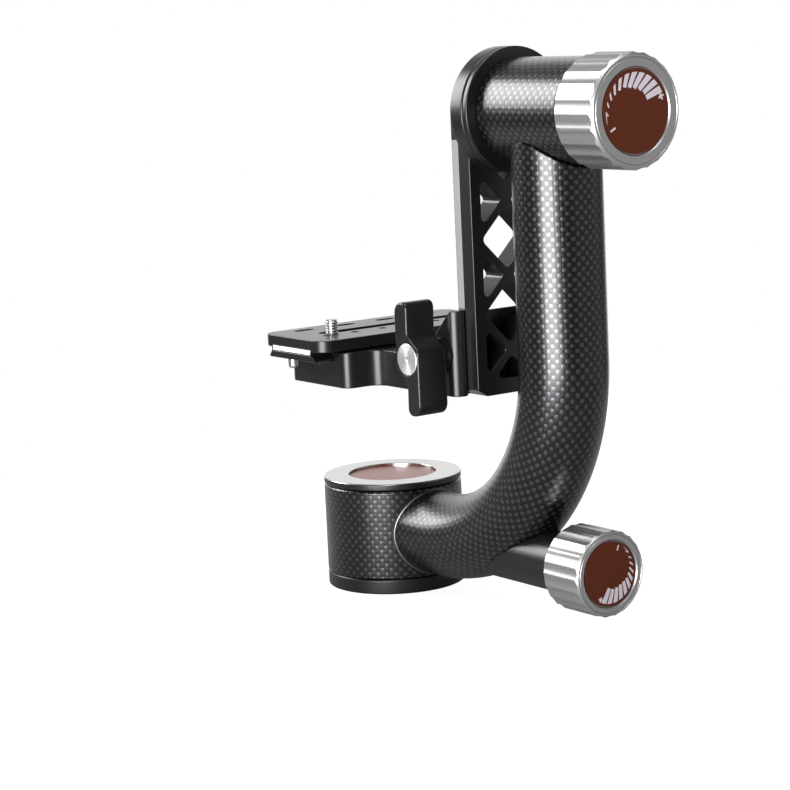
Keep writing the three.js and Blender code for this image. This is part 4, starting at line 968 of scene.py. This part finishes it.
# %% [markdown]
# ## Wing knob
# The knob that clamps the rail has two thick lobes set in an S round its hub, so that a thumb and
# a finger can push on opposite sides. It is a slab with a generous edge, joined to a turned
# collar. Its cap is a small turned disc whose rings fan the light.

# %% Wing knob and cap
WING_BACK, WING_FRONT, WING_CAP, COLLAR_RADIUS = 26.3, 45.8, 7.3, 8
TOWARDS_EYE = (0, -1, 0)
half = [(-8.6, 25.6, 5.2), (-8.4, -4.4, 3.2), (-0.6, -10.2, 4.5), (-0.9, -25.6, 3.2)]
lobes = rounded(half + [(-x, -z, radius) for x, z, radius in half], 8)
wing = slab("wing_lobes", [(x + WING_X, z + WING_Z) for x, z in lobes], -WING_BACK - 3.5,
            -WING_FRONT, from_side)
soften(wing, 1.1, 4, split=False)
at_wing = (WING_X, 0, WING_Z)
collar = turned("collar", rounded([
    (0, WING_BACK), (COLLAR_RADIUS, WING_BACK, 0.5), (COLLAR_RADIUS, 31), (0, 31)]),
    at_wing, TOWARDS_EYE, 64)
cut(wing, collar, operation="UNION")
cut(wing, rod_tool(WING_CAP + GAP, -47, -44.2, (WING_X, WING_Z), from_side, 64),
    rod_tool(SCREW_HOLE, -42.2, -26, (WING_X, WING_Z), from_side))
soften(wing, 0)
dress(wing, black, "wing", "black_anodised", "wing_knob")
wing_cap = turned("wing_cap_disc", rounded([
    (0, 44.5), (WING_CAP, 44.5), (WING_CAP, WING_FRONT, 0.5), (1.2, WING_FRONT, 0.2),
    (0.6, 45.5), (0, 45.5)]),
    at_wing, TOWARDS_EYE, 96)
soften(wing_cap, 0)
dress(wing_cap, wing_silver, "wing", "silver_aluminium", "wing_knob_cap")

# %% [markdown]
# ## Camera plate
# A long plate with dovetail edges slides into the clamp. Its top has a slot for the camera screw,
# a row of small holes, and a row of blind slots. The plate is its cross-section crossed with its
# rounded plan, and the openings are milled out of that.

# %% Quick plate
PLATE_BOTTOM, PLATE_TOP = 115.65, 126.15
STOP_X, STOP_Y = 6, 50
PLATE_HALF, PLATE_WIDE, WAIST, DOVETAIL = 55, 25.75, 16.5, 19
FLANGE, PLATE_THICK = 4.9, PLATE_TOP - PLATE_BOTTOM
UNDER, OVER, BLIND_FLOOR, STEP_TOP = 114, 128, 120.9, 120.85


def row(count, pitch):
    """Places of a centred row."""
    return [(i - (count - 1) / 2) * pitch for i in range(count)]


def long_slot(x, half_width, start, end):
    """A slot outline with round ends."""
    return rounded(rectangle(x - half_width, x + half_width, start - half_width, end + half_width,
                             half_width - NEARLY), 8)


right_half = [(DOVETAIL, 0), (DOVETAIL, 1), (WAIST, 3.5), (WAIST, FLANGE), (PLATE_WIDE, FLANGE),
              (PLATE_WIDE, PLATE_THICK)]
section = right_half + [(-x, z) for x, z in reversed(right_half)]
plate = slab("quick_release_plate", [(x, z + PLATE_BOTTOM) for x, z in section], -56, 56, from_side)
plan = rounded(rectangle(-PLATE_WIDE, PLATE_WIDE, -PLATE_HALF, PLATE_HALF, 8), 8)
cut(plate, slab("cutter", plan, PLATE_BOTTOM - 1, PLATE_TOP + 1, in_plan), operation="INTERSECT")
through = [rod_tool(2, UNDER, OVER, (9, y), in_plan, 24) for y in row(6, 16)]
blind = [slab("cutter", long_slot(-17, 2, y - 3.4, y + 3.4), BLIND_FLOOR, OVER, in_plan)
         for y in row(4, 24)]
screws = [rod_tool(1.8, UNDER, 120, (side * STOP_X, side * STOP_Y), in_plan, 24)
          for side in (-1, 1)]
cut(plate, slab("cutter", long_slot(0, 3.5, -34.8, 45), UNDER, OVER, in_plan),
    slab("cutter", long_slot(0, 7.6, -31, 41), UNDER, STEP_TOP, in_plan),
    *through, *blind, *screws)
cut(plate, slab("cutter", rectangle(-16.2, 16.2, -57, -54), PLATE_BOTTOM + 3.2, PLATE_BOTTOM + 6,
                in_plan))
soften(plate, 0.35)
dress(plate, black, "plate", "black_anodised", "quick_plate")

# %% End strip and stop screws
STRIP_BREAKS = (-15.9, -8.8, -8.1, 8.1, 8.8, 15.9)
strips = []
for low, high in zip(STRIP_BREAKS[::2], STRIP_BREAKS[1::2]):
    outline = rounded([(low, -PLATE_HALF, 0.2), (high, -PLATE_HALF, 0.2), (high, -54.3),
                       (low, -54.3)], 2)
    strips.append(slab("strip", outline, PLATE_BOTTOM + 3.5, PLATE_BOTTOM + 5.7, in_plan))
end_strip = merged("end_strip", strips)
soften(end_strip, 0.1, 2)
dress(end_strip, white_strip, "plate", "silver_aluminium", "plate_end_strip")
for side, node in ((-1, "near"), (1, "far")):
    stop = turned("stop_screw_" + node, rounded([
        (0, -5), (2.5, -5, 1.3), (2.5, -0.3, 0.5), (1.5, -0.3), (1.5, 4), (0, 4)]),
        (side * STOP_X, side * STOP_Y, PLATE_BOTTOM), UP, 48)
    cut(stop, rod_tool(1.1, 110, PLATE_BOTTOM - 3.6, (side * STOP_X, side * STOP_Y), in_plan, 6))
    soften(stop, 0)
    dress(stop, steel, "plate", "steel", "plate_stop_screw_" + node)

# %% [markdown]
# ## Camera screw
# A quarter-inch screw stands out of the slot. Its thread has 20 turns to the inch, so 1.27 mm a
# turn. The lead of so fine a thread can't be seen, so it is turned as rings with the same pitch.

# %% Camera screw
SCREW_Y, THREAD_PITCH, CREST, ROOT = -31.3, 1.27, 3.1, 2.55
SCREW_TOP, HEAD_RADIUS, HEAD_LOW, HEAD_HIGH = 132.15, 7, 116.35, 120.55
thread = []
height = 121.4
while height < SCREW_TOP - THREAD_PITCH:
    thread += [(ROOT, height), (CREST, height + THREAD_PITCH * 0.4),
               (CREST, height + THREAD_PITCH * 0.6)]
    height += THREAD_PITCH
screw = turned("camera_screw_thread", rounded([
    (0, HEAD_LOW), (HEAD_RADIUS, HEAD_LOW, 0.5), (HEAD_RADIUS, HEAD_HIGH, 0.4),
    (CREST, HEAD_HIGH), (CREST, 121)] + thread + [
    (ROOT, height), (CREST - 0.25, height + 0.4), (CREST - 0.5, SCREW_TOP, 0.3),
    (0, SCREW_TOP)], 3), (0, SCREW_Y, 0), UP, 64)
driver = rectangle(-8, 8, SCREW_Y - 0.7, SCREW_Y + 0.7)
cut(screw, slab("cutter", driver, 115, 117.95, in_plan))
soften(screw, 0)
dress(screw, steel, "camera_screw", "steel", "camera_screw")

# %% [markdown]
# ## Plate clamp
# On the far side a jaw closes on the plate's dovetail. A fluted knob draws it in.

# %% Plate jaw and its knob
JAW_OUTER, JAW_LOW, JAW_HALF = -29.3, 1, 30
jaw_side = rounded([
    (JAW_OUTER, JAW_LOW, 0.6), (-THROAT, JAW_LOW), (-THROAT, THROAT_TOP), (-LIP, LIP_LOW),
    (-LIP, LIP_TOP), (JAW_OUTER, LIP_TOP, 0.9)])
plate_jaw = slab("plate_clamp_jaw", above(jaw_side), -JAW_HALF, JAW_HALF, from_side)
cut(plate_jaw, lengthwise(SCREW_HOLE, -31, -18, 0, PLATE_SCREW_HEIGHT),
    *[lengthwise(PIN_HOLE, -27.6, -18, y, PLATE_SCREW_HEIGHT) for y in PLATE_PINS])
soften(plate_jaw, 0.4)
dress(plate_jaw, black, "plate_clamp", "black_anodised", "plate_jaw")

GRIP_RADIUS, GRIP_START, GRIP_END, GRIP_FLUTES, GRIP_FLUTE = 11, 4, 22, 12, 0.6
grip_z = PLATFORM_BOTTOM + PLATE_SCREW_HEIGHT
grip = turned("plate_knob_grip", rounded([
    (0, 13), (SCREW_HOLE, 13), (SCREW_HOLE, 0), (6, 0, 0.4), (6, GRIP_START),
    (GRIP_RADIUS - 1, GRIP_START), (GRIP_RADIUS, GRIP_START + 1), (GRIP_RADIUS, GRIP_END - 1),
    (9.6, GRIP_END, 0.3), (0, GRIP_END)]), (JAW_OUTER - GAP, 0, grip_z), (-1, 0, 0), 96)
outline = fluted(GRIP_RADIUS - 0.5, GRIP_FLUTES, grip_z, GRIP_FLUTE)
cut(grip, slab("cutter", outline, -60, -25, face_on), operation="INTERSECT")
soften(grip, 0)
dress(grip, black, "plate_knob", "black_anodised", "plate_clamp_knob")

# %% [markdown]
# ## The parts that stay
# Bearings, rods, screws and pins are right as the CAD model has them, and most are hidden. They
# keep their CAD shapes and get the finish that the record names for them.

# %% Finishes for the CAD nodes
finishes = {"carbon": carbon, "black_anodised": black, "silver_aluminium": tilt_silver,
            "steel": steel, "badge": badge_brown, "cap_ring": cap_silver, "brass": brass,
            "nylon": nylon}
slots = {part["node"]: part["material_slot"] for part in frame["record"]["subparts"]}
for name, node in frame["nodes"].items():
    for holder in node.material_slots:
        holder.material = finishes[slots[name]]
print(len(slots), "CAD nodes painted")

# %% [markdown]
# ## Last settings
# The Standard view shows colours as they are written.

# %% View
pick()
bpy.context.scene.view_settings.view_transform = "Standard"
